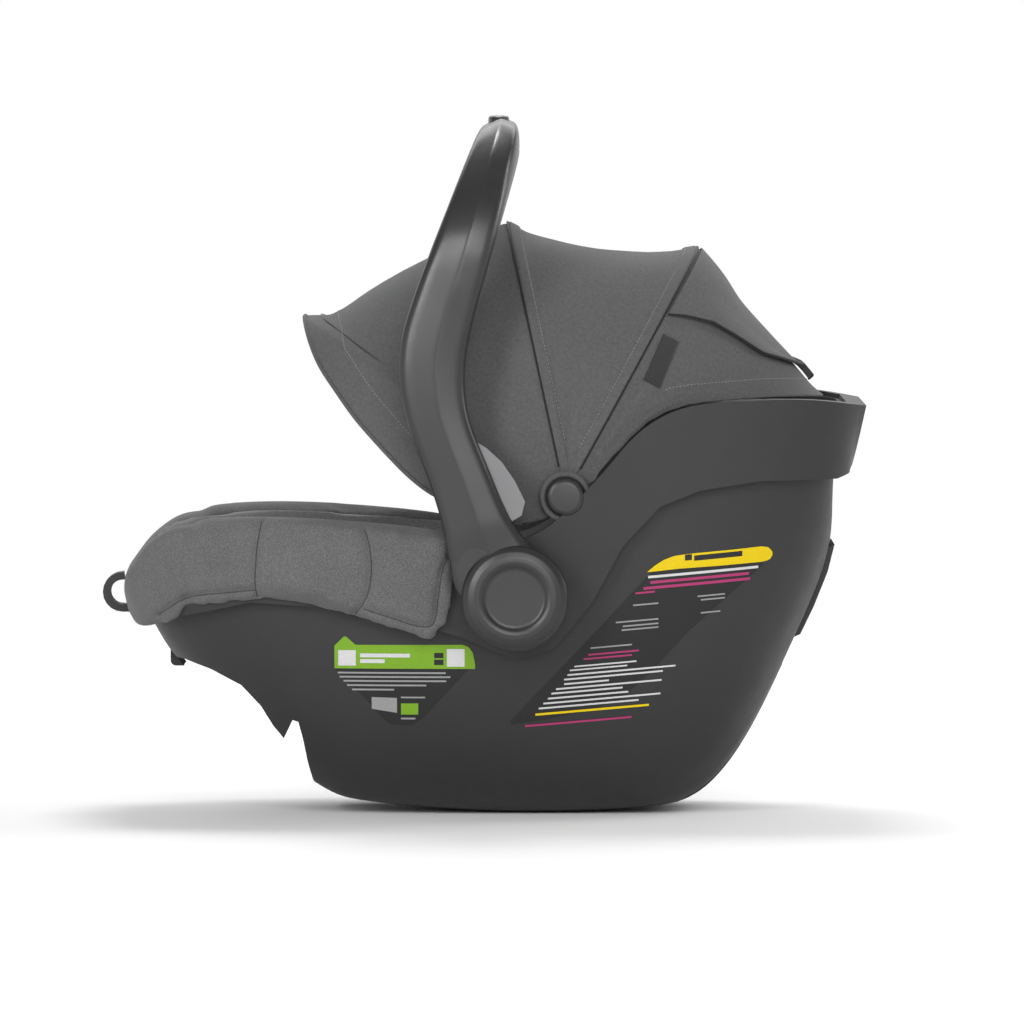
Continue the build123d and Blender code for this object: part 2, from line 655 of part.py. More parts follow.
def make_latch_hooks():
    """Two hooked plates on a steel cross shaft; their tips catch the base."""
    outline = [(AXLE[0] + x, AXLE[1] + z) for x, z in HOOK]
    shaft = cylinder_y(AXLE[0], AXLE[1], 4, -78, 78)
    for side in (-1, 1):
        y = side * LATCH_Y
        shaft = shaft + prism(outline, y - 3, y + 3)
    return shaft


def make_latch_brackets():
    """Bearing blocks for the latch shaft, moulded separately and screwed to the shell floor."""
    shapes = []
    for side in (-1, 1):
        y0, y1 = sorted((side * 72, side * 80))
        ear = block(AXLE[0] - 9, AXLE[0] + 9, y0, y1, 10, AXLE[1] + 9)
        ear = ear - cylinder_y(AXLE[0], AXLE[1], 4.1, -78.4, 78.4)
        shapes.append((ear - (OUTER - INNER)) & INNER)
    return joined(*shapes)


def make_release_handle():
    """Pull bar in the rear pocket."""
    half = RELEASE_HALF - 6
    outline = [(300, 232), (309, 236), (303, 212), (291, 182), (279, 157), (272, 154), (277, 172), (291, 206)]
    bar = prism(outline, -half, half)
    grip_gap = prism([(289, 222), (296, 205), (285, 178), (266, 178), (278, 222)], -half + 16, half - 16)
    return bar - grip_gap


def make_splitter_plate():
    """Steel yoke behind the seat back that joins the shoulder straps to the adjuster strap."""
    low = slope_point(-60, -44)
    plane = Plane(
        origin=low, x_dir=(math.cos(SLOPE), 0, math.sin(SLOPE)), z_dir=(-math.sin(SLOPE), 0, math.cos(SLOPE))
    )
    plate = rounded_slab(plane, 46, 92, 2.5, 6)
    for y in (-26, 26):
        plate = plate - rounded_slab(plane, 5, 34, 6, 1, offset=(12, y), lift=-2)
    return plate - rounded_slab(plane, 5, 34, 6, 1, offset=(-12, 0), lift=-2)


def make_front_bumper():
    """Rubber bumper under the foot end."""
    pad = block(-275, -259, -34, 34, 128, 142)
    pad = fillet(pad.edges().filter_by(Axis.Y).group_by(Axis.Z)[0], 5)
    return pad - OUTER


# ---------------------------------------------------------------- stickers on the -Y side
STICKER = 0.4
GUIDE_STICKER = [
    (-129, 132), (-120, 161), (-104, 153), (-16, 152), (-7, 143), (-8, 134), (-22, 128),
    (-60, 82), (-87, 82),
]
CAUTION_STICKER = [
    (143, 218), (164, 231), (246, 239), (253, 232), (246, 226), (120, 84), (24, 83), (60, 128), (88, 160),
]


def make_sticker(outline):
    """Thin film that follows the outside of the tub."""
    return ((tub(-STICKER) - OUTER) & prism(outline, -220, 0)) - prism(FLANGE_REGION, -260, 260)


# ---------------------------------------------------------------- write every node
def nodes():
    parts = {
        "shell": make_shell(),
        "foam_liner": make_foam_liner(),
        "seat_pad": make_seat_pad(),
        "seat_cover": make_seat_cover(),
        "handle_outer_shell": make_handle_outer(),
        "handle_inner_shell": make_handle_inner(),
        "top_button": make_top_button(),
        "canopy_front_panel": make_panel(FRONT_LINES),
        "canopy_mid_panel": make_panel(MID_LINES),
        "canopy_rear_panel": make_panel(REAR_LINES) - under_rim(0.6),
        "vent_flap": make_vent_flap(),
        "canopy_tag": make_canopy_tag(),
        "headrest_board": make_headrest_board(),
        "headrest_pad": make_headrest_pad(),
        "buckle_body": make_buckle_body(),
        "buckle_button": make_buckle_button(),
        "crotch_strap": make_crotch_strap(),
        "adjuster_body": make_adjuster_body(),
        "adjuster_button": make_adjuster_button(),
        "pull_loop": make_pull_loop(),
        "latch_hooks": make_latch_hooks(),
        "latch_brackets": make_latch_brackets(),
        "release_handle": make_release_handle(),
        "splitter_plate": make_splitter_plate(),
        "front_bumper": make_front_bumper(),
        "guide_sticker": make_sticker(GUIDE_STICKER),
        "caution_sticker": make_sticker(CAUTION_STICKER),
    }
    for name in BOWS:
        parts["bow_" + name] = make_bow(name)
    for name, make in (
        ("hub_cap", make_hub_cap), ("pivot_post", make_pivot_post), ("lock_ring", make_lock_ring),
        ("lock_pawl", make_lock_pawl), ("pivot_screw", make_pivot_screw), ("release_paddle", make_paddle),
        ("canopy_pivot", make_canopy_pivot),
    ):
        right = make()
        parts[name + "_far"] = right
        parts[name + "_near"] = other_side(right)
    for side, word in ((-1, "near"), (1, "far")):
        parts["shoulder_strap_" + word] = make_shoulder_strap(side)
        parts["shoulder_pad_" + word] = make_shoulder_pad(side)
        parts["hip_strap_" + word] = make_hip_strap(side)
        parts["buckle_tongue_" + word] = make_tongue(side)
        parts["chest_clip_" + word] = make_chest_clip(side)
    return parts


os.makedirs("parts", exist_ok=True)
for node, shape in nodes().items():
    export_step(shape, f"parts/{node}.step")
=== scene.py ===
import bpy
import bmesh
import numpy as np
import json
import math
from bisect import bisect_right
from functools import cache
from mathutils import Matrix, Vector, noise
from mathutils.bvhtree import BVHTree


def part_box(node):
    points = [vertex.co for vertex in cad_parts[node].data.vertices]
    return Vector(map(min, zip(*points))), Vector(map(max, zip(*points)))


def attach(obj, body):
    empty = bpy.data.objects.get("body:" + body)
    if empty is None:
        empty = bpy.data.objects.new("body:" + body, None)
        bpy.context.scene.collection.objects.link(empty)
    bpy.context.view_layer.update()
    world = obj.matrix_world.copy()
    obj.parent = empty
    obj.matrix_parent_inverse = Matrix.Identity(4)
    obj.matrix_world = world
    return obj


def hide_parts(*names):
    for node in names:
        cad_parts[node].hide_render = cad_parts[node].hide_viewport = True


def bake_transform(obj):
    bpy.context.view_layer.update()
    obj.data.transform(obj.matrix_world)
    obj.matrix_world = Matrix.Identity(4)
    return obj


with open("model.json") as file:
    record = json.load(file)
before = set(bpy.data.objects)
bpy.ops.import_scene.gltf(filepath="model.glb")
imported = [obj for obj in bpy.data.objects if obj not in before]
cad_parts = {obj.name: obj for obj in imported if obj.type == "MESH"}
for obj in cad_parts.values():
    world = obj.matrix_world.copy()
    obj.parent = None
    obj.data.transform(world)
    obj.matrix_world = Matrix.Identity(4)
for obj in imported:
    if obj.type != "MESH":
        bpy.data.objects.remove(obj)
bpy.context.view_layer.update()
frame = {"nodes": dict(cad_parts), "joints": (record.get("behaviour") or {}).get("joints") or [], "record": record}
NODES = frame["nodes"]
JOINTS = {j["name"]: j for j in frame["joints"]}
MM = 0.001
HUB = Vector(JOINTS["handle_swing"]["pos_m"])
PIVOT = Vector(JOINTS["canopy_fold"]["pos_m"])
SIDES = ((-1, "near"), (1, "far"))


# ---- camera, light and floor
CAMERA_RISE, CAMERA_AWAY, VIEW_WIDTH = math.radians(2.5), 10.0, 0.891
CAMERA_TARGET = Vector((0.0257, -0.15, 0.2685))
SENSOR_WIDTH = 36
LIGHTS = [  # name, place, target, width, watts, and height where it isn't square
    ("key", (-1.5, -2.5, 1.2), (-0.05, 0, 0.35), 0.7, 44, 1.5),
    ("front", (0.5, -3.0, 1.3), (0, 0, 0.25), 1.4, 46),
    ("top", (0.0, 1.0, 2.3), (0, 0, 0.1), 0.8, 26),
    ("side", (1.6, 0.3, 1.1), (0.1, 0, 0.3), 0.5, 12, 1.4),
    ("wash", (0, 2.6, 1.7), (0, 2.6, 0), 2.6, 45),
]
FLOOR_SIZE = 6


def make_camera():
    camera = bpy.data.objects.new("camera", bpy.data.cameras.new("camera"))
    back = Vector((0, -math.cos(CAMERA_RISE), math.sin(CAMERA_RISE)))
    camera.location = CAMERA_TARGET + CAMERA_AWAY * back
    camera.rotation_euler = (math.pi / 2 - CAMERA_RISE, 0, 0)
    camera.data.lens = SENSOR_WIDTH * CAMERA_AWAY / VIEW_WIDTH
    camera.data.clip_end = 100
    bpy.context.scene.collection.objects.link(camera)
    bpy.context.scene.camera = camera


def make_light(name, location, target, size, energy, size_y=None):
    lamp = bpy.data.lights.new(name, "AREA")
    lamp.energy = energy
    lamp.size = size
    if size_y:
        lamp.shape, lamp.size_y = "RECTANGLE", size_y
    item = bpy.data.objects.new(name, lamp)
    item.location = location
    item.rotation_euler = (Vector(target) - Vector(location)).to_track_quat("-Z", "Y").to_euler()
    bpy.context.scene.collection.objects.link(item)


def make_studio():
    """Bright backdrop all round at eye level, dimmer overhead, with soft boxes giving the modelling."""
    scene = bpy.context.scene
    scene.view_settings.view_transform = "Standard"
    world = bpy.data.worlds.new("studio")
    world.use_nodes = True
    tree = world.node_tree
    coords = tree.nodes.new("ShaderNodeTexCoord")
    split = tree.nodes.new("ShaderNodeSeparateXYZ")
    tree.links.new(coords.outputs["Generated"], split.inputs[0])
    shade = ramp(tree, split.outputs["Z"], [(0.14, (1, 1, 1)), (0.26, (0.22, 0.22, 0.22))])
    tree.links.new(shade, tree.nodes["Background"].inputs["Color"])
    tree.nodes["Background"].inputs["Strength"].default_value = 1.0
    scene.world = world
    for light in LIGHTS:
        make_light(*light)
    bpy.ops.mesh.primitive_plane_add(size=FLOOR_SIZE)
    floor = bpy.context.object
    floor.name = "floor"
    floor.data.materials.append(plain_material("floor_paper", (0.91, 0.91, 0.91), 0.95))


# ---- materials
def node_material(name):
    mat = bpy.data.materials.new(name)
    mat.use_nodes = True
    return mat, mat.node_tree, mat.node_tree.nodes["Principled BSDF"]


def constants(node, **values):
    """Constant values on a node's own sockets, by name with an underscore for a space."""
    for key, value in values.items():
        node.inputs[key.replace("_", " ")].default_value = value


def plain_material(name, colour, roughness):
    mat, _, shader = node_material(name)
    constants(shader, Base_Color=(*colour, 1), Roughness=roughness)
    return mat


def add(tree, kind, **values):
    """A shader node with its attributes and its sockets set by name."""
    node = tree.nodes.new(kind)
    for key, value in values.items():
        if hasattr(node, key):
            setattr(node, key, value)
        else:
            constants(node, **{key: value})
    return node


def ramp(tree, source, stops):
    node = tree.nodes.new("ShaderNodeValToRGB")
    elements = node.color_ramp.elements
    while len(elements) < len(stops):
        elements.new(0.5)
    for element, (position, colour) in zip(elements, stops):
        element.position = position
        element.color = (*colour, 1) if hasattr(colour, "__len__") else (colour, colour, colour, 1)
    tree.links.new(source, node.inputs["Fac"])
    return node.outputs["Color"]


def drive(tree, shader, socket, source, stops):
    """Set a socket of the shader by a ramp over source."""
    tree.links.new(ramp(tree, source, stops), shader.inputs[socket])


def tinted(colour, factor):
    return tuple(min(1, c * factor) for c in colour)


def bump(tree, shader, height, distance, strength=1.0, below=None):
    node = add(tree, "ShaderNodeBump", Distance=distance, Strength=strength)
    tree.links.new(height, node.inputs["Height"])
    if below:
        tree.links.new(below.outputs["Normal"], node.inputs["Normal"])
    tree.links.new(node.outputs["Normal"], shader.inputs["Normal"])
    return node


def object_noise(tree, scale, detail=2.0, roughness=0.5, stretch=(1, 1, 1), distortion=0.0):
    coords = tree.nodes.new("ShaderNodeTexCoord")
    mapping = add(tree, "ShaderNodeMapping", Scale=stretch)
    tree.links.new(coords.outputs["Object"], mapping.inputs["Vector"])
    texture = add(
        tree, "ShaderNodeTexNoise", Scale=scale, Detail=detail, Roughness=roughness, Distortion=distortion
    )
    tree.links.new(mapping.outputs["Vector"], texture.inputs["Vector"])
    return texture.outputs["Fac"]


def moulded_plastic(name, colour, roughness, grain=0.00004, grain_scale=1500, spread=0.08):
    """Moulded plastic: fine eroded grain, slight colour drift and uneven gloss."""
    mat, tree, shader = node_material(name)
    drift = object_noise(tree, 14, 4)
    drive(tree, shader, "Base Color", drift, [(0.3, tinted(colour, 0.94)), (0.7, tinted(colour, 1.06))])
    uneven = object_noise(tree, 60, 5, 0.7)
    drive(tree, shader, "Roughness", uneven, [(0.3, roughness - spread / 2), (0.7, roughness + spread / 2)])
    constants(shader, Specular_IOR_Level=0.45)
    if grain:
        bump(tree, shader, object_noise(tree, grain_scale, 2, 0.6), grain)
    return mat


def melange_fabric(name, colour):
    """Heathered knit: light and dark fibres mixed in short streaks, with a soft nap."""
    mat, tree, shader = node_material(name)
    fibres = object_noise(tree, 1400, 3, 0.75, (1.0, 1.0, 0.65), 0.4)
    flecks = ramp(tree, fibres, [
        (0.34, tinted(colour, 0.6)), (0.46, tinted(colour, 0.88)),
        (0.54, tinted(colour, 1.08)), (0.68, tinted(colour, 1.6)),
    ])
    cloudy = object_noise(tree, 24, 3)
    shade = ramp(tree, cloudy, [(0.3, 0.9), (0.7, 1.0)])
    mix = add(tree, "ShaderNodeMix", data_type="RGBA", blend_type="MULTIPLY")
    mix.inputs["Factor"].default_value = 1.0
    tree.links.new(flecks, mix.inputs[6])
    tree.links.new(shade, mix.inputs[7])
    tree.links.new(mix.outputs[2], shader.inputs["Base Color"])
    constants(shader, Roughness=0.95, Specular_IOR_Level=0.15, Sheen_Weight=0.12, Sheen_Roughness=0.5)
    bump(tree, shader, fibres, 0.0005, 0.7)
    return mat


def woven_fabric(name, colour, pitch=0.0009, sheen=0.1, contrast=0.22):
    """Plain weave on the UV map in metres: over and under threads, slubs and a faint mottle."""
    mat, tree, shader = node_material(name)
    coords = tree.nodes.new("ShaderNodeTexCoord")
    heights = []
    for direction in ("X", "Y"):
        wave = add(
            tree, "ShaderNodeTexWave", wave_type="BANDS", bands_direction=direction, Scale=0.314 / pitch,
            Distortion=0.6, Detail=2.0,
        )
        wave.inputs["Detail Scale"].default_value = 2.0
        tree.links.new(coords.outputs["UV"], wave.inputs["Vector"])
        heights.append(wave.outputs["Fac"])
    weave = add(tree, "ShaderNodeMath", operation="MULTIPLY")
    tree.links.new(heights[0], weave.inputs[0])
    tree.links.new(heights[1], weave.inputs[1])
    mottle = object_noise(tree, 420, 3, 0.65)
    blend = add(tree, "ShaderNodeMath", operation="MULTIPLY_ADD")
    blend.inputs[1].default_value = 0.45
    tree.links.new(weave.outputs[0], blend.inputs[0])
    tree.links.new(mottle, blend.inputs[2])
    shade = ramp(tree, blend.outputs[0], [
        (0.35, tinted(colour, 1 - contrast)), (0.85, tinted(colour, 1 + contrast)),
    ])
    tree.links.new(shade, shader.inputs["Base Color"])
    constants(shader, Roughness=0.88, Specular_IOR_Level=0.2, Sheen_Weight=sheen, Sheen_Roughness=0.45)
    bump(tree, shader, weave.outputs[0], 0.0002, 0.8)
    return mat


def webbing_fabric(name, colour):
    """Narrow woven webbing: close ribs across the band, worked from object space."""
    mat, tree, shader = node_material(name)
    coords = tree.nodes.new("ShaderNodeTexCoord")
    wave = add(tree, "ShaderNodeTexWave", wave_type="BANDS", bands_direction="DIAGONAL", Scale=260.0)
    tree.links.new(coords.outputs["Object"], wave.inputs["Vector"])
    ribs = wave.outputs["Fac"]
    drive(tree, shader, "Base Color", ribs, [(0.2, tinted(colour, 0.7)), (0.8, tinted(colour, 1.5))])
    constants(shader, Roughness=0.7, Sheen_Weight=0.2)
    bump(tree, shader, wave.outputs["Fac"], 0.0002, 0.6)
    return mat


def printed_film(name, colour, roughness=0.5):
    """Printed sticker film: a faint ink mottle under a smooth coat."""
    mat, tree, shader = node_material(name)
    mottle = object_noise(tree, 900, 2)
    drive(tree, shader, "Base Color", mottle, [(0.3, tinted(colour, 0.93)), (0.7, tinted(colour, 1.05))])
    drive(tree, shader, "Roughness", object_noise(tree, 50, 3), [(0.3, roughness), (0.7, roughness + 0.12)])
    constants(shader, Specular_IOR_Level=0.25)
    return mat


def brushed_metal(name, colour):
    mat, tree, shader = node_material(name)
    lines = object_noise(tree, 900, 3, 0.6, (1, 0.05, 1))
    drive(tree, shader, "Base Color", lines, [(0.3, tinted(colour, 0.9)), (0.7, tinted(colour, 1.05))])
    drive(tree, shader, "Roughness", lines, [(0.3, 0.3), (0.7, 0.42)])
    constants(shader, Metallic=1.0)
    return mat


def bead_foam(name, colour):
    """Expanded bead foam: rounded cells with darker joins."""
    mat, tree, shader = node_material(name)
    coords = tree.nodes.new("ShaderNodeTexCoord")
    cells = add(tree, "ShaderNodeTexVoronoi", Scale=260.0)
    tree.links.new(coords.outputs["Object"], cells.inputs["Vector"])
    drive(tree, shader, "Base Color", cells.outputs["Distance"], [(0.3, colour), (0.8, tinted(colour, 0.8))])
    constants(shader, Roughness=0.75)
    bump(tree, shader, cells.outputs["Distance"], 0.0006, 0.5)
    return mat


MAT = {
    "shell": moulded_plastic("shell_plastic", (0.0165, 0.0165, 0.017), 0.55, 0.00006, 1300),
    "handle": moulded_plastic("handle_plastic", (0.022, 0.022, 0.0225), 0.32, 0.00001, 900),
    "hub": moulded_plastic("hub_plastic", (0.018, 0.018, 0.0185), 0.36, 0.00002, 1700),
    "paddle": moulded_plastic("paddle_plastic", (0.145, 0.145, 0.149), 0.45, 0.00002, 1700),
    "cover": melange_fabric("cover_melange", (0.107, 0.107, 0.1085)),
    "pad": melange_fabric("pad_melange", (0.15, 0.15, 0.152)),
    "canopy": woven_fabric("canopy_weave", (0.083, 0.083, 0.0845)),
    "binding": woven_fabric("canopy_binding", (0.018, 0.018, 0.0185), 0.0007, 0.15),
    "thread": woven_fabric("thread", (0.19, 0.19, 0.193), 0.0003, 0.3),
    "tag": woven_fabric("tag_satin", (0.03, 0.03, 0.031), 0.0004, 0.4, 0.1),
    "foam": bead_foam("liner_foam", (0.04, 0.04, 0.041)),
    "bow": moulded_plastic("bow_plastic", (0.03, 0.03, 0.031), 0.45),
    "webbing": webbing_fabric("webbing", (0.022, 0.022, 0.023)),
    "buckle": moulded_plastic("buckle_plastic", (0.025, 0.025, 0.026), 0.3, 0.00001),
    "red": moulded_plastic("button_red", (0.45, 0.02, 0.02), 0.3, 0.00001),
    "steel": brushed_metal("zinc_steel", (0.55, 0.55, 0.56)),
    "rubber": moulded_plastic("bumper_rubber", (0.02, 0.02, 0.02), 0.7, 0.00008, 900),
    "green": printed_film("sticker_green", (0.15, 0.30, 0.016)),
    "ink": printed_film("sticker_dark", (0.017, 0.017, 0.0175)),
    "yellow": printed_film("sticker_yellow", (0.62, 0.45, 0.0)),
    "white": printed_film("sticker_white", (0.5, 0.5, 0.5)),
    "magenta": printed_film("sticker_magenta", (0.33, 0.03, 0.12)),
    "print": printed_film("sticker_print", (0.24, 0.24, 0.245)),
    "seam_thread": woven_fabric("seam_thread", (0.045, 0.045, 0.046), 0.0004, 0.2),
}
# slots whose material isn't the first word of their name
SLOT_MATERIAL = {
    "button_red": "red", "bumper_rubber": "rubber", "sticker_green": "ink", "sticker_dark": "ink",
}


def dress_cad_nodes():
    for entry in frame["record"]["subparts"]:
        mesh = NODES[entry["node"]].data
        mesh.materials.clear()
        slot = entry["material_slot"]
        mesh.materials.append(MAT[SLOT_MATERIAL.get(slot, slot.split("_")[0])])


# ---- mesh helpers
def new_piece(name, bm, materials, body, smooth=True):
    mesh = bpy.data.meshes.new(name)
    bm.to_mesh(mesh)
    bm.free()
    item = bpy.data.objects.new(name, mesh)
    bpy.context.scene.collection.objects.link(item)
    for key in materials:
        mesh.materials.append(MAT[key])
    for face in mesh.polygons:
        face.use_smooth = smooth
    if body:
        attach(item, body)
    return item


def applied(item, *modifiers):
    """The object with these modifiers, given as (type, settings), applied to its mesh."""
    for kind, settings in modifiers:
        mod = item.modifiers.new(kind.lower(), kind)
        for key, value in settings.items():
            setattr(mod, key, value)
    return baked(item)


def baked(item):
    graph = bpy.context.evaluated_depsgraph_get()
    mesh = bpy.data.meshes.new_from_object(item.evaluated_get(graph))
    old = item.data
    item.modifiers.clear()
    item.data = mesh
    mesh.name = old.name
    bpy.data.meshes.remove(old)
    return item


def smoothstep(a, b, x):
    t = min(1.0, max(0.0, (x - a) / (b - a)))
    return t * t * (3 - 2 * t)


def through(points, x):
    """Smooth curve through (x, value) points, sorted by x."""
    xs = [p[0] for p in points]
    if x <= xs[0]:
        return points[0][1]
    if x >= xs[-1]:
        return points[-1][1]
    i = bisect_right(xs, x) - 1

    def slope(k):
        a, b = points[max(k - 1, 0)], points[min(k + 1, len(points) - 1)]
        return (b[1] - a[1]) / (b[0] - a[0])

    (x0, y0), (x1, y1) = points[i], points[i + 1]
    h = x1 - x0
    t = (x - x0) / h
    return (
        (2 * t ** 3 - 3 * t ** 2 + 1) * y0 + (t ** 3 - 2 * t ** 2 + t) * h * slope(i)
        + (3 * t ** 2 - 2 * t ** 3) * y1 + (t ** 3 - t ** 2) * h * slope(i + 1)
    )


def spline(points, steps):
    """Smooth curve through points of any number of values, with steps points from each to the next."""
    out = []
    for i in range(len(points) - 1):
        p0, p1 = points[max(i - 1, 0)], points[i]
        p2, p3 = points[i + 1], points[min(i + 2, len(points) - 1)]
        for k in range(steps):
            t = k / steps
            out.append(tuple(
                0.5 * (2 * b + (c - a) * t + (2 * a - 5 * b + 4 * c - d) * t * t
                       + (3 * b - a - 3 * c + d) * t ** 3)
                for a, b, c, d in zip(p0, p1, p2, p3)
            ))
    return out + [tuple(points[-1])]


def resample(path, step):
    """(point, normal, direction) at even spacing along a polyline of (point, normal)."""
    out, carry = [], 0.0
    for (a, na), (b, nb) in zip(path, path[1:]):
        length = (b - a).length
        at = carry
        while at < length:
            t = at / length
            out.append((a.lerp(b, t), na.lerp(nb, t).normalized(), (b - a).normalized()))
            at += step
        carry = at - length
    return out


def band(bm, r0, r1, index=0):
    """Faces between two rings with as many points each."""
    count = len(r0)
    for k in range(count):
        m = (k + 1) % count
        bm.faces.new((r0[k], r0[m], r1[m], r1[k])).material_index = index


def cap_ends(bm, rings, index=0):
    for ring in (rings[0][::-1], rings[-1]):
        bm.faces.new(ring).material_index = index


def slab(bm, low, top, index=0):
    """Closed slab between two grids of points."""
    long, wide = len(top) - 1, len(top[0]) - 1
    faces = []
    for i in range(long):
        for j in range(wide):
            faces.append((top[i][j], top[i + 1][j], top[i + 1][j + 1], top[i][j + 1]))
            faces.append((low[i][j], low[i][j + 1], low[i + 1][j + 1], low[i + 1][j]))
        for j in (0, wide):
            faces.append((top[i][j], low[i][j], low[i + 1][j], top[i + 1][j]))
    for i in (0, long):
        for j in range(wide):
            faces.append((top[i][j], top[i][j + 1], low[i][j + 1], low[i][j]))
    for corners in faces:
        bm.faces.new(corners).material_index = index


@cache
def surface(item):
    """The surface of an object, for casting rays at."""
    return BVHTree.FromObject(item, bpy.context.evaluated_depsgraph_get())


def add_stitches(bm, path, index, pitch=3.3 * MM, long=2.2 * MM, wide=0.85 * MM):
    """Short raised stitches, sunk half into the cloth, along a path of (point, normal)."""
    for point, normal, along in resample(path, pitch):
        across = normal.cross(along).normalized()
        rings = []
        for share, size in ((-0.5, 0.45), (-0.25, 1.0), (0.25, 1.0), (0.5, 0.45)):
            ring = []
            for k in range(6):
                a = math.pi * k / 3
                offset = across * math.cos(a) + normal * (math.sin(a) * 0.8 + 0.35)
                ring.append(bm.verts.new(point + along * (share * long) + offset * (wide / 2 * size)))
            rings.append(ring)
        for r0, r1 in zip(rings, rings[1:]):
            band(bm, r0, r1, index)
        cap_ends(bm, rings, index)


def add_tube(bm, path, index, radius, flat=1.0, sides=10, closed=False):
    """Tube along a path of (point, normal); flat squeezes it along the normal."""
    rings = []
    count = len(path)
    for i, (point, normal) in enumerate(path):
        before = path[i - 1][0] if i or closed else path[0][0]
        after = path[(i + 1) % count][0] if i + 1 < count or closed else path[-1][0]
        along = (after - before).normalized()
        across = normal.cross(along).normalized()
        up = along.cross(across).normalized()
        ring = []
        for k in range(sides):
            a = 2 * math.pi * k / sides
            offset = across * (radius * math.cos(a)) + up * (radius * flat * math.sin(a))
            ring.append(bm.verts.new(point + offset))
        rings.append(ring)
    pairs = list(zip(rings, rings[1:])) + ([(rings[-1], rings[0])] if closed else [])
    for r0, r1 in pairs:
        band(bm, r0, r1, index)
    if not closed:
        cap_ends(bm, rings, index)
    bmesh.ops.recalc_face_normals(bm, faces=bm.faces)


# ---- canopy
CANOPY_HALF = 172 * MM
ARCH = 2.8
BOW_ANGLES = {"front": -55.4, "mid": -12.1, "rear": 28.9}
REAR_END = 76.0
# crown height above the axis by angle back from upright: a crease at each bow
CROWN = {
    "front": [(-56.4, 275), (-53, 256), (-44, 244), (-28, 235), (-20, 236), (-12.1, 240)],
    "mid": [(-12.1, 240), (-7.5, 227.5), (0.9, 216.5), (9, 213.5), (18.6, 220), (24, 229), (28.9, 243)],
    "rear": [(28.9, 243), (36, 234), (43.5, 225), (53, 225), (62.6, 232), (68.9, 240), (76, 262)],
}
# where the front hem lies: share of the crown height, and angle
FRONT_HEM = [
    (0.05, -150), (0.15, -124), (0.3, -99), (0.438, -87.5), (0.55, -78.7), (0.624, -74), (0.703, -70),
    (0.788, -66), (0.883, -62.2), (0.95, -59), (1.0, -56.4),
]
FOOT = 0.05
SLEEVE = 10 * MM
CANOPY_CLOTH, FLAP_CLOTH = 1.5 * MM, 1.4 * MM


def crown(panel, angle):
    return through(CROWN[panel], angle) * MM


def canopy_point(panel, angle, share, lift=0.0):
    """A point of the canopy. share runs from 0 at the near foot over the crown at 0.5 to 1."""
    a = math.asin(FOOT ** (ARCH / 2)) * (1 - 2 * share) + math.pi * share
    high = math.sin(a) ** (2 / ARCH)
    wide = -math.copysign(abs(math.cos(a)) ** (2 / ARCH), math.cos(a))
    ends = sorted((CROWN[panel][0][0], CROWN[panel][-1][0]))
    middle = math.sin(math.pi * min(1, max(0, (angle - ends[0]) / (ends[1] - ends[0]))))
    slack = 3.5 * MM * middle * (1 - high ** 4) * min(1, high * 2)
    radius = crown(panel, angle) * high + lift
    half = CANOPY_HALF - slack + lift
    turn = math.radians(angle)
    return PIVOT + Vector((radius * math.sin(turn), half * wide, radius * math.cos(turn)))


def canopy_normal(panel, angle, share):
    """Outward normal of the canopy, from two small steps along it."""
    d = 0.6
    a = canopy_point(panel, angle + d, share) - canopy_point(panel, angle - d, share)
    s0, s1 = max(share - 0.004, 0), min(share + 0.004, 1)
    b = canopy_point(panel, angle, s1) - canopy_point(panel, angle, s0)
    return a.cross(b).normalized()


def sleeve_lift(panel, angle, point):
    """Bow sleeves stand proud behind the middle bow and ahead of the rear one."""
    radius = math.hypot(point.x - PIVOT.x, point.z - PIVOT.z)
    lift = 0.0
    if panel == "mid":
        for bow, way in (("mid", 1), ("rear", -1)):
            away = radius * math.sin(math.radians(angle - BOW_ANGLES[bow])) * way
            inner = smoothstep(-0.1 * MM, 1.5 * MM, away)
            lift += 1.5 * MM * (1 - smoothstep(SLEEVE - 1.5 * MM, SLEEVE, away)) * inner
    if panel == "front":
        away = radius * math.sin(math.radians(BOW_ANGLES["mid"] - angle))
        lift -= 1.0 * MM * (1 - smoothstep(0.5 * MM, 5 * MM, away))
    return lift


def fold_lift(panel, angle, share):
    """Soft radial folds, deepest near the pivot, and a faint overall unevenness."""
    seed = {"front": 3.0, "mid": 11.0, "rear": 19.0}[panel]
    near_foot = 1 - abs(2 * share - 1)
    pleats = noise.noise(Vector((angle * 0.16, near_foot * 2.2, seed + (share > 0.5) * 5)))
    broad = noise.noise(Vector((angle * 0.05, share * 9, seed + 30)))
    depth = smoothstep(0.0, 0.12, near_foot) * (1 - 0.6 * smoothstep(0.2, 0.9, near_foot))
    return (pleats * 1.1 * depth + broad * 1.3) * MM


@cache
def rim_curve(step=6 * MM):
    """(x, height) of the shell's rim, read from the shell's own mesh."""
    bins = {}
    for vertex in NODES["shell"].data.vertices:
        key = round(vertex.co.x / step)
        bins[key] = max(bins.get(key, 0), vertex.co.z)
    return sorted((key * step, z) for key, z in bins.items())


def rim_height(x):
    return through(rim_curve(), x)


def panel_edges(panel, share):
    """First and last angle of a panel at this share of the arch."""
    if panel == "front":
        a = math.asin(FOOT ** (ARCH / 2)) * (1 - 2 * share) + math.pi * share
        return through(FRONT_HEM, math.sin(a) ** (2 / ARCH)), BOW_ANGLES["mid"]
    if panel == "mid":
        return BOW_ANGLES["mid"], BOW_ANGLES["rear"]
    low, high = BOW_ANGLES["rear"] + 3, REAR_END
    for _ in range(18):
        middle = (low + high) / 2
        point = canopy_point("rear", middle, share)
        if point.z > rim_height(point.x) + 0.8 * MM:
            low = middle
        else:
            high = middle
    return BOW_ANGLES["rear"], low


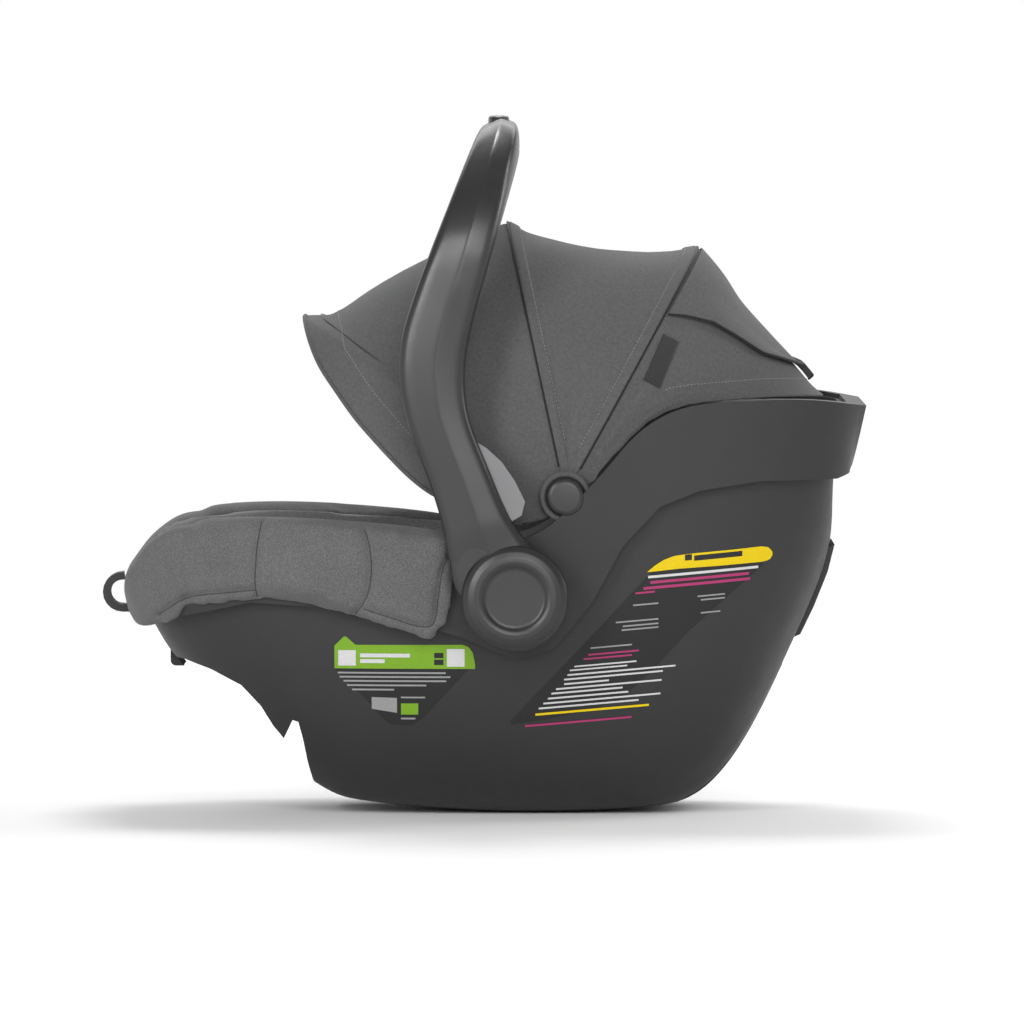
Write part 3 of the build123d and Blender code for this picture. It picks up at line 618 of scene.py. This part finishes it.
def panel_place(panel, along, share):
    """Point and normal at along (0 to 1, front to back) and share (foot to foot)."""
    first, last = panel_edges(panel, share)
    angle = first + (last - first) * along
    base = canopy_point(panel, angle, share)
    normal = canopy_normal(panel, angle, share)
    fade = smoothstep(0, 0.1, along) * (1 - smoothstep(0.9, 1, along))
    point = base + normal * (sleeve_lift(panel, angle, base) + fold_lift(panel, angle, share) * fade)
    return point, normal


def sheet_mesh(points):
    """One-sided mesh on a grid of points, with the lengths along the cloth as its UV map."""
    bm = bmesh.new()
    uv = bm.loops.layers.uv.new("weave")
    grid = [[bm.verts.new(point) for point in line] for line in points]
    middle = len(grid[0]) // 2
    flat, run = {}, 0.0
    for j, line in enumerate(grid):
        run += (line[middle].co - grid[j - 1][middle].co).length if j else 0
        across = 0.0
        for i, vertex in enumerate(line):
            across += (vertex.co - line[i - 1].co).length if i else 0
            flat[vertex] = (across, run)
    for low, high in zip(grid, grid[1:]):
        for corners in zip(low, high, high[1:], low[1:]):
            for loop in bm.faces.new(corners).loops:
                loop[uv].uv = flat[loop.vert]
    bmesh.ops.recalc_face_normals(bm, faces=bm.faces)
    return bm


def panel_mesh(panel, columns, rows):
    return sheet_mesh([
        [panel_place(panel, i / columns, j / rows)[0] for i in range(columns + 1)] for j in range(rows + 1)
    ])


def offset_path(panel, edge, distance, first=0.03, last=0.97, steps=220):
    """Points on a panel at a fixed distance in from its front (0) or back (1) edge."""
    path = []
    for k in range(steps + 1):
        share = first + (last - first) * k / steps
        near, _ = panel_place(panel, edge, share)
        inner, _ = panel_place(panel, 0.5, share)
        reach = (inner - near).length
        if reach < distance * 1.3:
            continue
        low, high = 0.0, 1.0
        for _ in range(12):
            middle = (low + high) / 2
            along = middle if edge == 0 else 1 - middle
            if (panel_place(panel, along, share)[0] - near).length < distance:
                low = middle
            else:
                high = middle
        path.append(panel_place(panel, low if edge == 0 else 1 - low, share))
    return path


def cloth_piece(name, bm, stitches, thickness):
    """Cloth with thickness from a one-sided mesh, with its stitches added afterwards."""
    mesh = bpy.data.meshes.new(name + "_skin")
    bm.to_mesh(mesh)
    bm.free()
    item = bpy.data.objects.new(name + "_skin", mesh)
    bpy.context.scene.collection.objects.link(item)
    applied(item, ("SOLIDIFY", {"thickness": thickness, "offset": -1.0, "use_even_offset": True}))
    out = bmesh.new()
    out.from_mesh(item.data)
    bpy.data.objects.remove(item)
    for index, path in stitches:
        add_stitches(out, path, index)
    return out


def make_canopy_panels():
    plans = {
        "front": (90, 150, ("canopy_mid", "canopy_front"), [("front", 0, 30 * MM)]),
        "mid": (100, 150, ("canopy_rear", "canopy_mid"), [("mid", 0, 11.5 * MM), ("mid", 1, 11.5 * MM)]),
        "rear": (80, 150, ("carrier", "canopy_rear"), [("rear", 1, 20 * MM)]),
    }
    for panel, (columns, rows, (a, b), lines) in plans.items():
        bm = panel_mesh(panel, columns, rows)
        stitches = [(1, offset_path(*line)) for line in lines]
        out = cloth_piece("canopy_" + panel, bm, stitches, CANOPY_CLOTH)
        if panel != "front":
            seam = [panel_place(panel, 0.0, 0.01 + 0.98 * k / 240) for k in range(241)]
            add_tube(out, [(p + n * 0.2 * MM, n) for p, n in seam], 2, 1.0 * MM)
        item = new_piece("canopy_cloth_" + panel, out, ["canopy", "thread", "binding"], None)
        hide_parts(f"canopy_{panel}_panel")
        start, _ = panel_place(panel, 1.0, 0.5)
        end, _ = panel_place(panel, 0.0, 0.5)
        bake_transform(item)


def make_front_hem():
    """Rolled edge of the visor."""
    bm = bmesh.new()
    path = [panel_place("front", 0.0, 0.02 + 0.96 * k / 200) for k in range(201)]
    add_tube(bm, path, 0, 1.9 * MM, 0.9)
    new_piece("canopy_front_hem", bm, ["canopy"], "canopy_front")


# ---- small solids
def lathe(name, middle, side, profile, material, body, segments=96):
    """Turned piece on a Y axis through middle; profile is (radius, distance out from the middle plane)."""
    bm = bmesh.new()
    rings = []
    for radius, out in profile:
        ring = []
        for k in range(segments if radius > 0 else 1):
            a = 2 * math.pi * k / segments
            ring.append(bm.verts.new(
                (middle.x + radius * MM * math.cos(a), side * out * MM, middle.z + radius * MM * math.sin(a))
            ))
        rings.append(ring)
    for r0, r1 in zip(rings, rings[1:]):
        for k in range(segments):
            m = (k + 1) % segments
            if len(r0) == 1:
                bm.faces.new((r0[0], r1[k], r1[m]))
            elif len(r1) == 1:
                bm.faces.new((r0[k], r1[0], r0[m]))
            else:
                bm.faces.new((r0[k], r1[k], r1[m], r0[m]))
    bmesh.ops.recalc_face_normals(bm, faces=bm.faces)
    return new_piece(name, bm, [material], body)


def rounded_profile(points, radius=0.8, steps=4):
    """The profile with its inner corners turned into small arcs."""
    out = [points[0]]
    for (ax, ay), (bx, by), (cx, cy) in zip(points, points[1:], points[2:]):
        before, after = math.hypot(ax - bx, ay - by), math.hypot(cx - bx, cy - by)
        reach = min(radius, before * 0.45, after * 0.45)
        p = (bx + (ax - bx) / before * reach, by + (ay - by) / before * reach)
        q = (bx + (cx - bx) / after * reach, by + (cy - by) / after * reach)
        for k in range(steps + 1):
            t = k / steps
            out.append(tuple(
                (1 - t) ** 2 * p[i] + 2 * t * (1 - t) * (bx, by)[i] + t * t * q[i] for i in (0, 1)
            ))
    out.append(points[-1])
    return out


HUB_PROFILE = [
    (0, 217.4), (24.2, 217.4), (26.0, 217.9), (28.6, 219.7), (31.5, 220.6), (35.5, 220.3), (40.5, 218.7),
    (44.6, 215.9), (46.2, 213.0), (0, 213.0),
]
PIVOT_PROFILE = [(0, 189.0), (12.5, 188.6), (15.5, 187.2), (17, 184.0), (17, 171), (0, 171)]


def make_turned_caps():
    for side, where in SIDES:
        for name, node, middle, profile, body in (
            ("hub_cover_", "hub_cap_", HUB, HUB_PROFILE, "handle"),
            ("canopy_hub_", "canopy_pivot_", PIVOT, PIVOT_PROFILE, "carrier"),
        ):
            cap = lathe(name + where, middle, side, rounded_profile(profile), "hub", body)
            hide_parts(node + where)


# side-view middle x, z and width of each arm, then the corner and the grip, as the handle runs in mm
ARM_Y, ARM_HALF, GRIP_Z, GRIP_HALF, CORNER_Y, CORNER_Z = 207.0, 9.5, 590.5, 15.0, 92.0, 474.0
ARM_LINE = [
    (10.5, 222, 70), (0, 245, 63), (-8, 268, 55.5), (-19, 299, 52), (-31, 330, 51), (-39.5, 357, 53),
    (-43.5, 386, 56), (-42, 413, 57), (-35, 442, 55),
]
# outer face as shares of half the width and half the thickness: rolled front edge, two facets, bevel
FACETS = [
    (-1.015, -0.3), (-1.012, 0.05), (-0.99, 0.3), (-0.93, 0.52), (-0.82, 0.72), (-0.66, 0.83),
    (0.02, 1.2), (0.09, 1.24), (0.16, 1.225), (0.72, 0.98), (0.82, 0.9), (0.93, 0.66), (1.0, 0.3),
    (1.015, 0.0), (1.015, -0.3),
]


SKIN_GAP = 0.4  # mm by which the outer face stands off the CAD shell


def handle_line():
    """(middle, width, half thickness, outward) in mm from the near hub to the middle of the grip."""
    line = [(Vector((x, -ARM_Y, z)), w, ARM_HALF, Vector((0, -1, 0))) for x, z, w in ARM_LINE]
    for i in range(6):
        a = math.pi / 2 * i / 5
        share = math.sin(a)
        middle = Vector((-25 + 39 * share, -CORNER_Y - (ARM_Y - CORNER_Y) * math.cos(a),
                         CORNER_Z + (GRIP_Z - CORNER_Z) * share))
        thick = ARM_HALF + (GRIP_HALF - ARM_HALF) * share
        line.append((middle, 52 - 3.2 * i, thick, Vector((0, -math.cos(a), math.sin(a)))))
    line.append((Vector((14, 0, GRIP_Z)), 36, GRIP_HALF, Vector((0, 0, 1))))
    return line


def make_handle_skin():
    """Outer face of the handle: a ridge between two facets, and a bevel on the back edge."""
    half = spline([(*m, w, t, *o) for m, w, t, o in handle_line()], 9)
    whole = half + [[n[0], -n[1], n[2], n[3], n[4], n[5], -n[6], n[7]] for n in reversed(half[:-1])]
    bm = bmesh.new()
    rows, sharp = [], []
    for i, n in enumerate(whole):
        before, after = Vector(whole[max(i - 1, 0)][:3]), Vector(whole[min(i + 1, len(whole) - 1)][:3])
        along = (after - before).normalized()
        outward = Vector(n[5:8])
        outward = (outward - along * outward.dot(along)).normalized()
        across = outward.cross(along).normalized()
        if across.x < 0:
            across = -across
        climb = smoothstep(222, 262, n[2])
        calm = smoothstep(0, 60, abs(n[1]))  # facets fade into a round grip at the middle
        row = []
        for u, v in FACETS:
            round_v = math.sqrt(max(0, 1 - (u / 1.02) ** 2)) * 1.3 - 0.28
            v = v * calm + (round_v if v > -0.25 else v) * (1 - calm)
            v = (v if v < 0 else v * (0.72 + 0.28 * climb))
            point = Vector(n[:3]) + across * (u * n[3] / 2) + outward * (v * n[4] + SKIN_GAP)
            row.append(bm.verts.new(point * MM))
        rows.append(row)
    for r0, r1 in zip(rows, rows[1:]):
        for a, b, c, d in zip(r0, r0[1:], r1[1:], r1):
            bm.faces.new((a, b, c, d))
    bmesh.ops.recalc_face_normals(bm, faces=bm.faces)
    item = new_piece("handle_face", bm, ["handle"], None)
    applied(item, ("SOLIDIFY", {"thickness": 0.8 * MM, "offset": -1.0}), ("SUBSURF", {"levels": 1}))
    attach(item, "handle")


# half sizes in mm, and how far its skirt stays above the foot of the CAD button, more than it travels
BUTTON_HALF_X, BUTTON_HALF_Y, SKIRT_RISE = 9.2, 22.0, 4.5


def make_top_button():
    """Low oval push button, domed."""
    bm = bmesh.new()
    lo, hi = (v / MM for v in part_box("top_button"))
    centre = (lo + hi) / 2
    rings = []
    # share of the size, and depth below the top
    dome = [(1.0, 3.2), (0.95, 1.4), (0.82, 0.4), (0.5, 0), (0.02, 0)]
    for share, z in [(1.0, lo.z + SKIRT_RISE)] + [(share, hi.z - depth) for share, depth in dome]:
        ring = []
        for k in range(64):
            a = 2 * math.pi * k / 64
            x = math.copysign(abs(math.cos(a)) ** 0.8, math.cos(a)) * BUTTON_HALF_X * share
            y = math.copysign(abs(math.sin(a)) ** 0.8, math.sin(a)) * BUTTON_HALF_Y * share
            ring.append(bm.verts.new(((centre.x + x) * MM, (centre.y + y) * MM, z * MM)))
        rings.append(ring)
    for r0, r1 in zip(rings, rings[1:]):
        band(bm, r0, r1)
    cap_ends(bm, rings)
    bmesh.ops.recalc_face_normals(bm, faces=bm.faces)
    item = new_piece("release_button_top", bm, ["hub"], "top_button")
    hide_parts("top_button")


# ---- sticker films
def along_line(line, x):
    """z of a polyline at x, straight between points."""
    if x <= line[0][0]:
        return line[0][1]
    for (x0, z0), (x1, z1) in zip(line, line[1:]):
        if x <= x1:
            return z0 + (z1 - z0) * (x - x0) / max(x1 - x0, 1e-9)
    return line[-1][1]


def film_patch(bm, lower, upper, index, lift, step=2.0, rows=10, thickness=0.12):
    """Film between two lines (x, z) in mm on the near side of the shell, with real edges."""
    x0, x1 = max(lower[0][0], upper[0][0]), min(lower[-1][0], upper[-1][0])
    count = max(2, round((x1 - x0) / step))
    tree = surface(NODES["shell"])
    top, low = [], []
    for i in range(count + 1):
        x = x0 + (x1 - x0) * i / count
        z0, z1 = along_line(lower, x), along_line(upper, x)
        for layer, height in ((top, lift + thickness), (low, lift)):
            line = []
            for j in range(rows + 1):
                z = z0 + (z1 - z0) * j / rows
                hit, normal, _, _ = tree.ray_cast(Vector((x * MM, -0.4, z * MM)), Vector((0, 1, 0)))
                if normal.y > 0:
                    normal = -normal
                line.append(bm.verts.new(hit + normal * height * MM))
            layer.append(line)
    slab(bm, low, top, index)


GUIDE_BACK = (
    [(-128.9, 131.8), (-100, 103), (-88, 89), (-80, 82.5), (-62, 81.8), (-52, 88), (-12, 131.8)],
    [(-128.9, 132.0), (-12, 132.0)],
)
GUIDE_BAND = (
    [(-128.9, 132.0), (-6.4, 132.0)],
    [(-128.9, 152), (-127.6, 153.2), (-119.8, 161.0), (-110.5, 152.8), (-17, 153.2), (-12.5, 151.4),
     (-9, 147.5), (-7, 142), (-6.4, 136)],
)
CAUTION_BACK = (
    [(24.2, 84.5), (26, 82.5), (60, 88), (92, 95), (120, 105), (146, 128), (180, 165), (244, 222)],
    [(24.2, 86), (100, 166), (146, 216), (160, 226), (244, 226)],
)
CAUTION_HEAD = (
    [(143.5, 216.6), (170, 219.5), (210, 222.2), (243, 224.8), (250, 226.5), (252.4, 230.5)],
    [(143.5, 217.0), (150, 222.5), (158, 227.5), (167, 230.8), (180, 232.6), (215, 235.6), (243, 238.4),
     (249, 237.6), (252.4, 233.5)],
)


def bar(bm, x0, x1, z, slope, height, index, lift=0.42):
    lower = [(x0, z), (x1, z + slope * (x1 - x0))]
    film_patch(bm, lower, [(x, y + height) for x, y in lower], index, lift, 4.0, 1)


def make_stickers():
    bm = bmesh.new()
    film_patch(bm, *GUIDE_BACK, 0, 0.1)
    film_patch(bm, *GUIDE_BAND, 1, 0.12)
    film_patch(bm, [(-125.6, 134.6), (-110.2, 134.6)], [(-125.6, 148.2), (-110.2, 148.2)], 2, 0.42)
    for x0, x1, z in ((-106.5, -63, 142.0), (-106.5, -85, 137.0)):
        bar(bm, x0, x1, z, 0, 3.4, 2)
    film_patch(bm, [(-31, 134), (-15.5, 134)], [(-31, 149.6), (-15.5, 149.6)], 2, 0.42)
    for z in (141.5, 135.5):
        film_patch(bm, [(-42, z), (-34, z)], [(-42, z + 4.6), (-34, z + 4.6)], 0, 0.42)
    for x0, x1, z in (
        (-126, -32, 127.6), (-124.5, -28, 124.0), (-121, -31.5, 120.4), (-118, -49, 116.6),
        (-113.5, -77, 112.8),
    ):
        bar(bm, x0, x1, z, 0, 1.5, 3)
    film_patch(bm, [(-96.5, 96.5), (-74.5, 93)], [(-99, 107), (-74, 106.2)], 3, 0.42)
    bar(bm, -71, -50, 106, 0, 1.4, 3)
    film_patch(bm, [(-71, 91.5), (-56, 91.5)], [(-71, 101.4), (-56, 101.4)], 1, 0.42)
    bar(bm, -71, -58.5, 87.2, 0, 1.5, 3)
    item = new_piece("guide_film", bm, ["ink", "green", "white", "print"], "carrier", False)
    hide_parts("guide_sticker")

    bm = bmesh.new()
    film_patch(bm, *CAUTION_BACK, 0, 0.1)
    film_patch(bm, *CAUTION_HEAD, 1, 0.42)
    slope = 0.085
    rows = [  # x from and to, z at the left end, height, material
        (176, 182, 226.6, 5.2, 0), (184, 226, 226.4, 4.6, 0),
        (144, 240, 211.2, 2.2, 2), (146, 232, 206.4, 2.4, 4), (140, 233, 201.2, 2.4, 4),
        (133, 150, 197.4, 1.6, 4),
        (187, 211, 194.5, 1.3, 3), (190, 211, 191.4, 1.3, 3), (190, 207, 180, 1.3, 3),
        (131, 153, 187, 1.3, 3), (116, 153, 172, 1.3, 3), (122, 153, 168.6, 1.3, 3),
        (121, 153, 165.2, 1.3, 3),
        (94, 130, 149.6, 1.3, 3), (92, 136, 143.6, 1.5, 4), (88, 130, 139.8, 1.5, 4),
        (80, 134, 133.4, 1.3, 2), (76, 126, 130, 1.3, 2), (74, 168, 125.8, 1.5, 2), (71, 157, 121.8, 1.5, 2),
        (71, 110, 117.8, 1.5, 2), (64, 156, 113.4, 1.5, 2), (60, 122, 109.4, 1.5, 2), (57, 127, 105, 1.5, 2),
        (53, 155, 100.6, 1.5, 2), (49, 136, 96.2, 1.5, 2), (46, 145, 90.6, 1.9, 1), (37, 130, 80.5, 1.7, 4),
    ]
    for x0, x1, z, height, index in rows:
        bar(bm, x0, x1, z, slope if x0 < 175 or z < 200 else 0.09, height, index, 0.42 if index else 0.6)
    colours = ["ink", "yellow", "white", "print", "magenta"]
    item = new_piece("caution_film", bm, colours, "carrier", False)
    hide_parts("caution_sticker")


# ---- padded pieces
def inflated(node, name, voxel, cap, even, material):
    """A stuffed version of a CAD block: evened out, blown up a little, and held to a small move."""
    mesh = NODES[node].data.copy()
    item = bpy.data.objects.new(name, mesh)
    bpy.context.scene.collection.objects.link(item)
    mesh.materials.clear()
    mesh.materials.append(MAT[material])
    applied(item, ("REMESH", {"mode": "VOXEL", "voxel_size": voxel}))
    start = coordinates(item)
    applied(item, ("SMOOTH", {"factor": 0.5, "iterations": even}))
    blow_up(item)
    moved = coordinates(item)
    shift = moved - start
    length = np.linalg.norm(shift, axis=1, keepdims=True)
    place(item, start + shift * np.minimum(1, cap / np.maximum(length, 1e-9)))
    applied(item, ("SUBSURF", {"levels": 1}))
    for face in item.data.polygons:
        face.use_smooth = True
    return item


def coordinates(item):
    out = np.empty(len(item.data.vertices) * 3)
    item.data.vertices.foreach_get("co", out)
    return out.reshape(-1, 3)


def place(item, points):
    item.data.vertices.foreach_set("co", points.reshape(-1))
    item.data.update()


def blow_up(item):
    scene = bpy.context.scene
    scene.frame_set(1)
    before = coordinates(item).mean(axis=0)
    cloth = item.modifiers.new("cloth", "CLOTH")
    cloth.settings.quality = 4
    cloth.settings.use_pressure = True
    cloth.settings.uniform_pressure_force = 4
    cloth.settings.effector_weights.gravity = 0
    cloth.collision_settings.use_collision = False
    for frame_number in range(1, 21):
        scene.frame_set(frame_number)
    baked(item)
    scene.frame_set(1)
    points = coordinates(item)
    place(item, points - points.mean(axis=0) + before)


def distance_to_line(x, z, line):
    """Distance of points to a polyline in the side view, in the same unit."""
    best = np.full(x.shape, 1e9)
    for (x0, z0), (x1, z1) in zip(line, line[1:]):
        dx, dz = x1 - x0, z1 - z0
        t = np.clip(((x - x0) * dx + (z - z0) * dz) / (dx * dx + dz * dz), 0, 1)
        best = np.minimum(best, np.hypot(x - x0 - t * dx, z - z0 - t * dz))
    return best


def press_side_seams(item, seams, depth=2.6, wide=3.2):
    """Stitched grooves pressed into the outer sides, along (x, z) lines in mm."""
    points = coordinates(item)
    normals = np.empty(len(points) * 3)
    item.data.vertices.foreach_get("normal", normals)
    normals = normals.reshape(-1, 3)
    x, y, z = points.T / MM
    outward = np.clip((np.abs(normals[:, 1]) - 0.15) / 0.3, 0, 1) * (normals[:, 1] * y > 0)
    push = np.zeros(len(points))
    for line in seams:
        push = np.maximum(push, depth * np.exp(-(distance_to_line(x, z, line) / wide) ** 2))
    place(item, points - normals * (push * outward * MM)[:, None])


def side_path(tree, line, side, step=2.5, sink=0.0):
    """Points and normals on a soft piece's outer side along a line (x, z) in mm."""
    out = []
    for (x0, z0), (x1, z1) in zip(line, line[1:]):
        count = max(1, round(math.hypot(x1 - x0, z1 - z0) / step))
        for k in range(count + (1 if (x1, z1) == line[-1] else 0)):
            t = k / count
            start = Vector(((x0 + (x1 - x0) * t) * MM, side * 0.4, (z0 + (z1 - z0) * t) * MM))
            hit, normal, _, _ = tree.ray_cast(start, Vector((0, -side, 0)))
            if hit:
                if normal.y * side < 0:
                    normal = -normal
                out.append((hit - normal * sink * MM, normal))
    return out


COVER_SEAMS = {
    "front_panel": [(-191.5, 262), (-195.5, 240), (-197.2, 218), (-197.4, 205), (-195, 191)],
    "middle": [(-102.5, 255), (-98.7, 243.6), (-96.2, 224.6), (-97.7, 205.7), (-102, 193), (-111, 180)],
    "front_hem": [(-283, 177), (-275, 182.5), (-263, 190.5), (-248, 195.5), (-222, 198.5), (-197, 201.5)],
    "rear_hem": [
        (-103, 185.6), (-80, 178.3), (-59, 171.4), (-46, 170.6), (-40.7, 178.3), (-37.6, 201.4),
        (-34.4, 220.4), (-29, 230.5), (-25.5, 231.4),
    ],
}
COVER_SEAMS = {name: spline(points, 6) for name, points in COVER_SEAMS.items()}
# lower edge of the cover on each side, and its rounded nose as (degrees up from forward, distance) from NOSE
COVER_EDGE = [
    (-262, 182.5), (-230, 187.5), (-185, 193), (-143, 186.5), (-101, 174), (-58, 161), (-44, 159), (-29, 172),
]
NOSE = (-262.0, 205.0)
NOSE_END, SIDE_FROM, SIDE_BELOW = -225, 90, 205  # where the evening out stops, in mm along X, Y and Z
NOSE_CURVE = [(-63, 41.5), (-46, 56), (-29, 59), (7, 52), (32, 47.5), (61, 47), (100, 54)]


def round_nose(points):
    """Bring the nose to its curve in the side view. points are in mm and are changed in place."""
    dx, dz = NOSE[0] - points[:, 0], points[:, 2] - NOSE[1]
    angle, reach = np.degrees(np.arctan2(dz, dx)), np.hypot(dx, dz)
    front = points[:, 0] < NOSE_END
    bins = np.arange(-70, 111, 5)
    outline = np.array([
        reach[front & (np.abs(angle - middle) < 3.5)].max(initial=1.0) for middle in bins
    ])
    wanted = np.array([through(NOSE_CURVE, middle) for middle in bins])
    ratio = np.interp(angle, bins, np.clip(wanted / outline, 0.82, 1.12))
    weight = np.clip((-228 - points[:, 0]) / 24, 0, 1)
    weight *= np.clip((angle + 70) / 8, 0, 1) * np.clip((108 - angle) / 8, 0, 1)
    scale = 1 + (ratio - 1) * weight * (reach / np.interp(angle, bins, outline))
    points[:, 0] = NOSE[0] - dx * scale
    points[:, 2] = NOSE[1] + dz * scale


def level_edges(points, fade=48):
    """Bring the lower edge of both sides to its line, fading out above it. points are in mm."""
    first, last = COVER_EDGE[0][0], COVER_EDGE[-1][0] + 3
    steps = np.arange(first, last, 6.0)
    low = np.array([
        points[(np.abs(points[:, 0] - x) < 4) & (np.abs(points[:, 1]) > 90), 2].min() for x in steps
    ])
    edge = np.array([through(COVER_EDGE, x) for x in steps])
    now, want = np.interp(points[:, 0], steps, low), np.interp(points[:, 0], steps, edge)
    share = np.clip((points[:, 2] - now) / fade, 0, 1)
    side = np.clip((np.abs(points[:, 1]) - 60) / 40, 0, 1)
    inside = (points[:, 0] > first) & (points[:, 0] < last)
    points[:, 2] += (want - now) * (1 - share * share * (3 - 2 * share)) * side * inside


def shape_cover(item):
    """Give the cover its side outline, then even out its nose and its lower edges."""
    points = coordinates(item) / MM
    round_nose(points)
    level_edges(points)
    place(item, points * MM)
    bm = bmesh.new()
    bm.from_mesh(item.data)
    soft = [
        v for v in bm.verts
        if v.co.x < NOSE_END * MM or (abs(v.co.y) > SIDE_FROM * MM and v.co.z < SIDE_BELOW * MM)
    ]
    for _ in range(9):
        bmesh.ops.smooth_vert(bm, verts=soft, factor=0.5, use_axis_x=True, use_axis_y=True, use_axis_z=True)
    bm.to_mesh(item.data)
    bm.free()


def make_seat_cover():
    item = inflated("seat_cover", "cover_soft", 4.2 * MM, 9 * MM, 14, "cover")
    shape_cover(item)
    press_side_seams(item, COVER_SEAMS.values())
    tree = surface(item)
    bm = bmesh.new()
    bm.from_mesh(item.data)
    for side, _ in SIDES:
        for line in COVER_SEAMS.values():
            add_tube(bm, side_path(tree, line, side, sink=0.1), 1, 0.55 * MM)
    bm.to_mesh(item.data)
    bm.free()
    item.data.materials.append(MAT["seam_thread"])
    for face in item.data.polygons:
        face.use_smooth = True
    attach(item, "carrier")
    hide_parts("seat_cover")


PAD_PIECES = {  # CAD node: soft piece, voxel and cap in mm, evening passes, body
    "seat_pad": ("seat_soft", 4.5, 6, 10, "carrier"),
    "headrest_pad": ("headrest_soft", 3.5, 9, 10, "headrest"),
    "shoulder_pad_near": ("shoulder_soft_near", 2.5, 4, 8, "carrier"),
    "shoulder_pad_far": ("shoulder_soft_far", 2.5, 4, 8, "carrier"),
}


def make_pads():
    for node, (name, voxel, cap, even, body) in PAD_PIECES.items():
        item = inflated(node, name, voxel * MM, cap * MM, even, "pad")
        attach(item, body)
        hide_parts(node)


# ---- canopy trim
FLAP_EDGE = [(160, 440), (175, 438), (198, 431), (220, 417), (242, 402.5), (264, 395), (291, 385.5)]
FLAP_FROM, FLAP_TO = 29.6, 65.9


def flap_place(angle, t, lift_edge=7.5):
    """Point and normal on the vent flap: t is 0 at its near edge and 1 at its far edge."""
    low, high = 0.02, 0.5
    for _ in range(16):
        middle = (low + high) / 2
        point = canopy_point("rear", angle, middle) / MM
        if point.z < along_line(FLAP_EDGE, point.x):
            low = middle
        else:
            high = middle
    share = low + (1 - 2 * low) * t
    base, normal = canopy_point("rear", angle, share), canopy_normal("rear", angle, share)
    rise = smoothstep(FLAP_FROM, FLAP_FROM + 10, angle)
    side = 1 - smoothstep(0.0, 0.22, min(t, 1 - t))
    end = smoothstep(FLAP_TO - 12, FLAP_TO, angle)
    wave = noise.noise(Vector((angle * 0.12, t * 3, 41.0))) * 1.4 * side
    lift = 2.4 + rise * (lift_edge * 0.5 * side + 0.8 * end * side) + wave * rise * (1 - end)
    return base + normal * lift * MM, normal


def make_vent_flap():
    columns, rows = 60, 120
    angles = [FLAP_FROM + (FLAP_TO - FLAP_FROM) * i / columns for i in range(columns + 1)]
    bm = sheet_mesh([[flap_place(angle, j / rows)[0] for angle in angles] for j in range(rows + 1)])
    out = cloth_piece("vent_flap", bm, [], FLAP_CLOTH)
    edge = [flap_place(angle, 0) for angle in angles]
    edge += [flap_place(FLAP_TO, j / rows) for j in range(1, rows + 1)]
    edge += [flap_place(FLAP_TO - (FLAP_TO - FLAP_FROM) * i / columns, 1) for i in range(1, columns + 1)]
    add_tube(out, [(p - n * 0.9 * MM, n) for p, n in edge], 1, 1.2 * MM)
    item = new_piece("canopy_vent_flap", out, ["canopy", "binding"], None)
    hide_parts("vent_flap")
    start, end = (panel_place("rear", along, 0.5)[0] for along in (1, 0))
    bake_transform(item)


TAG_CORNERS = [(157.0, 424.0), (171.0, 417.0), (154.0, 376.0), (139.0, 383.5)]


def make_tag():
    """Blank woven label, sewn flat to the rear panel."""
    trees = [surface(bpy.data.objects["canopy_cloth_" + name]) for name in ("rear", "mid")]
    a, b, c, d = TAG_CORNERS
    bm = bmesh.new()
    layers = []
    for lift in (0.3, 1.3):
        grid = []
        for i in range(25):
            line = []
            for j in range(9):
                u, v = i / 24, j / 8
                x = (a[0] * (1 - v) + b[0] * v) * (1 - u) + (d[0] * (1 - v) + c[0] * v) * u
                z = (a[1] * (1 - v) + b[1] * v) * (1 - u) + (d[1] * (1 - v) + c[1] * v) * u
                hits = [t.ray_cast(Vector((x * MM, -0.4, z * MM)), Vector((0, 1, 0))) for t in trees]
                hit, normal = min(((h[0], h[1]) for h in hits if h[0]), key=lambda h: h[0].y)
                if normal.y > 0:
                    normal = -normal
                soft = min(1, 6 * min(u, 1 - u, v, 1 - v))
                line.append(bm.verts.new(hit + normal * (lift * (0.75 + 0.25 * soft)) * MM))
            grid.append(line)
        layers.append(grid)
    slab(bm, *layers)
    bmesh.ops.recalc_face_normals(bm, faces=bm.faces)
    tag = new_piece("canopy_label", bm, ["tag"], "canopy_rear")
    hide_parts("canopy_tag")


PIPING_RADIUS, PIPING_Y = 19.6 * MM, 178.5 * MM


def make_pivot_piping():
    """Fabric piping gathered round each canopy hub."""
    for side, where in SIDES:
        bm = bmesh.new()
        path = []
        for k in range(72):
            a = math.radians(-62 + k * 5)
            offset = Vector((PIPING_RADIUS * math.sin(a), side * PIPING_Y, PIPING_RADIUS * math.cos(a)))
            path.append((PIVOT + offset, Vector((0, side, 0))))
        add_tube(bm, path, 0, 2.6 * MM, 1.0, 12, True)
        new_piece("canopy_piping_" + where, bm, ["canopy"], "carrier")


make_camera()
make_studio()
dress_cad_nodes()
make_canopy_panels()
make_front_hem()
make_vent_flap()
make_tag()
make_pivot_piping()
make_turned_caps()
make_handle_skin()
make_top_button()
make_stickers()
make_seat_cover()
make_pads()
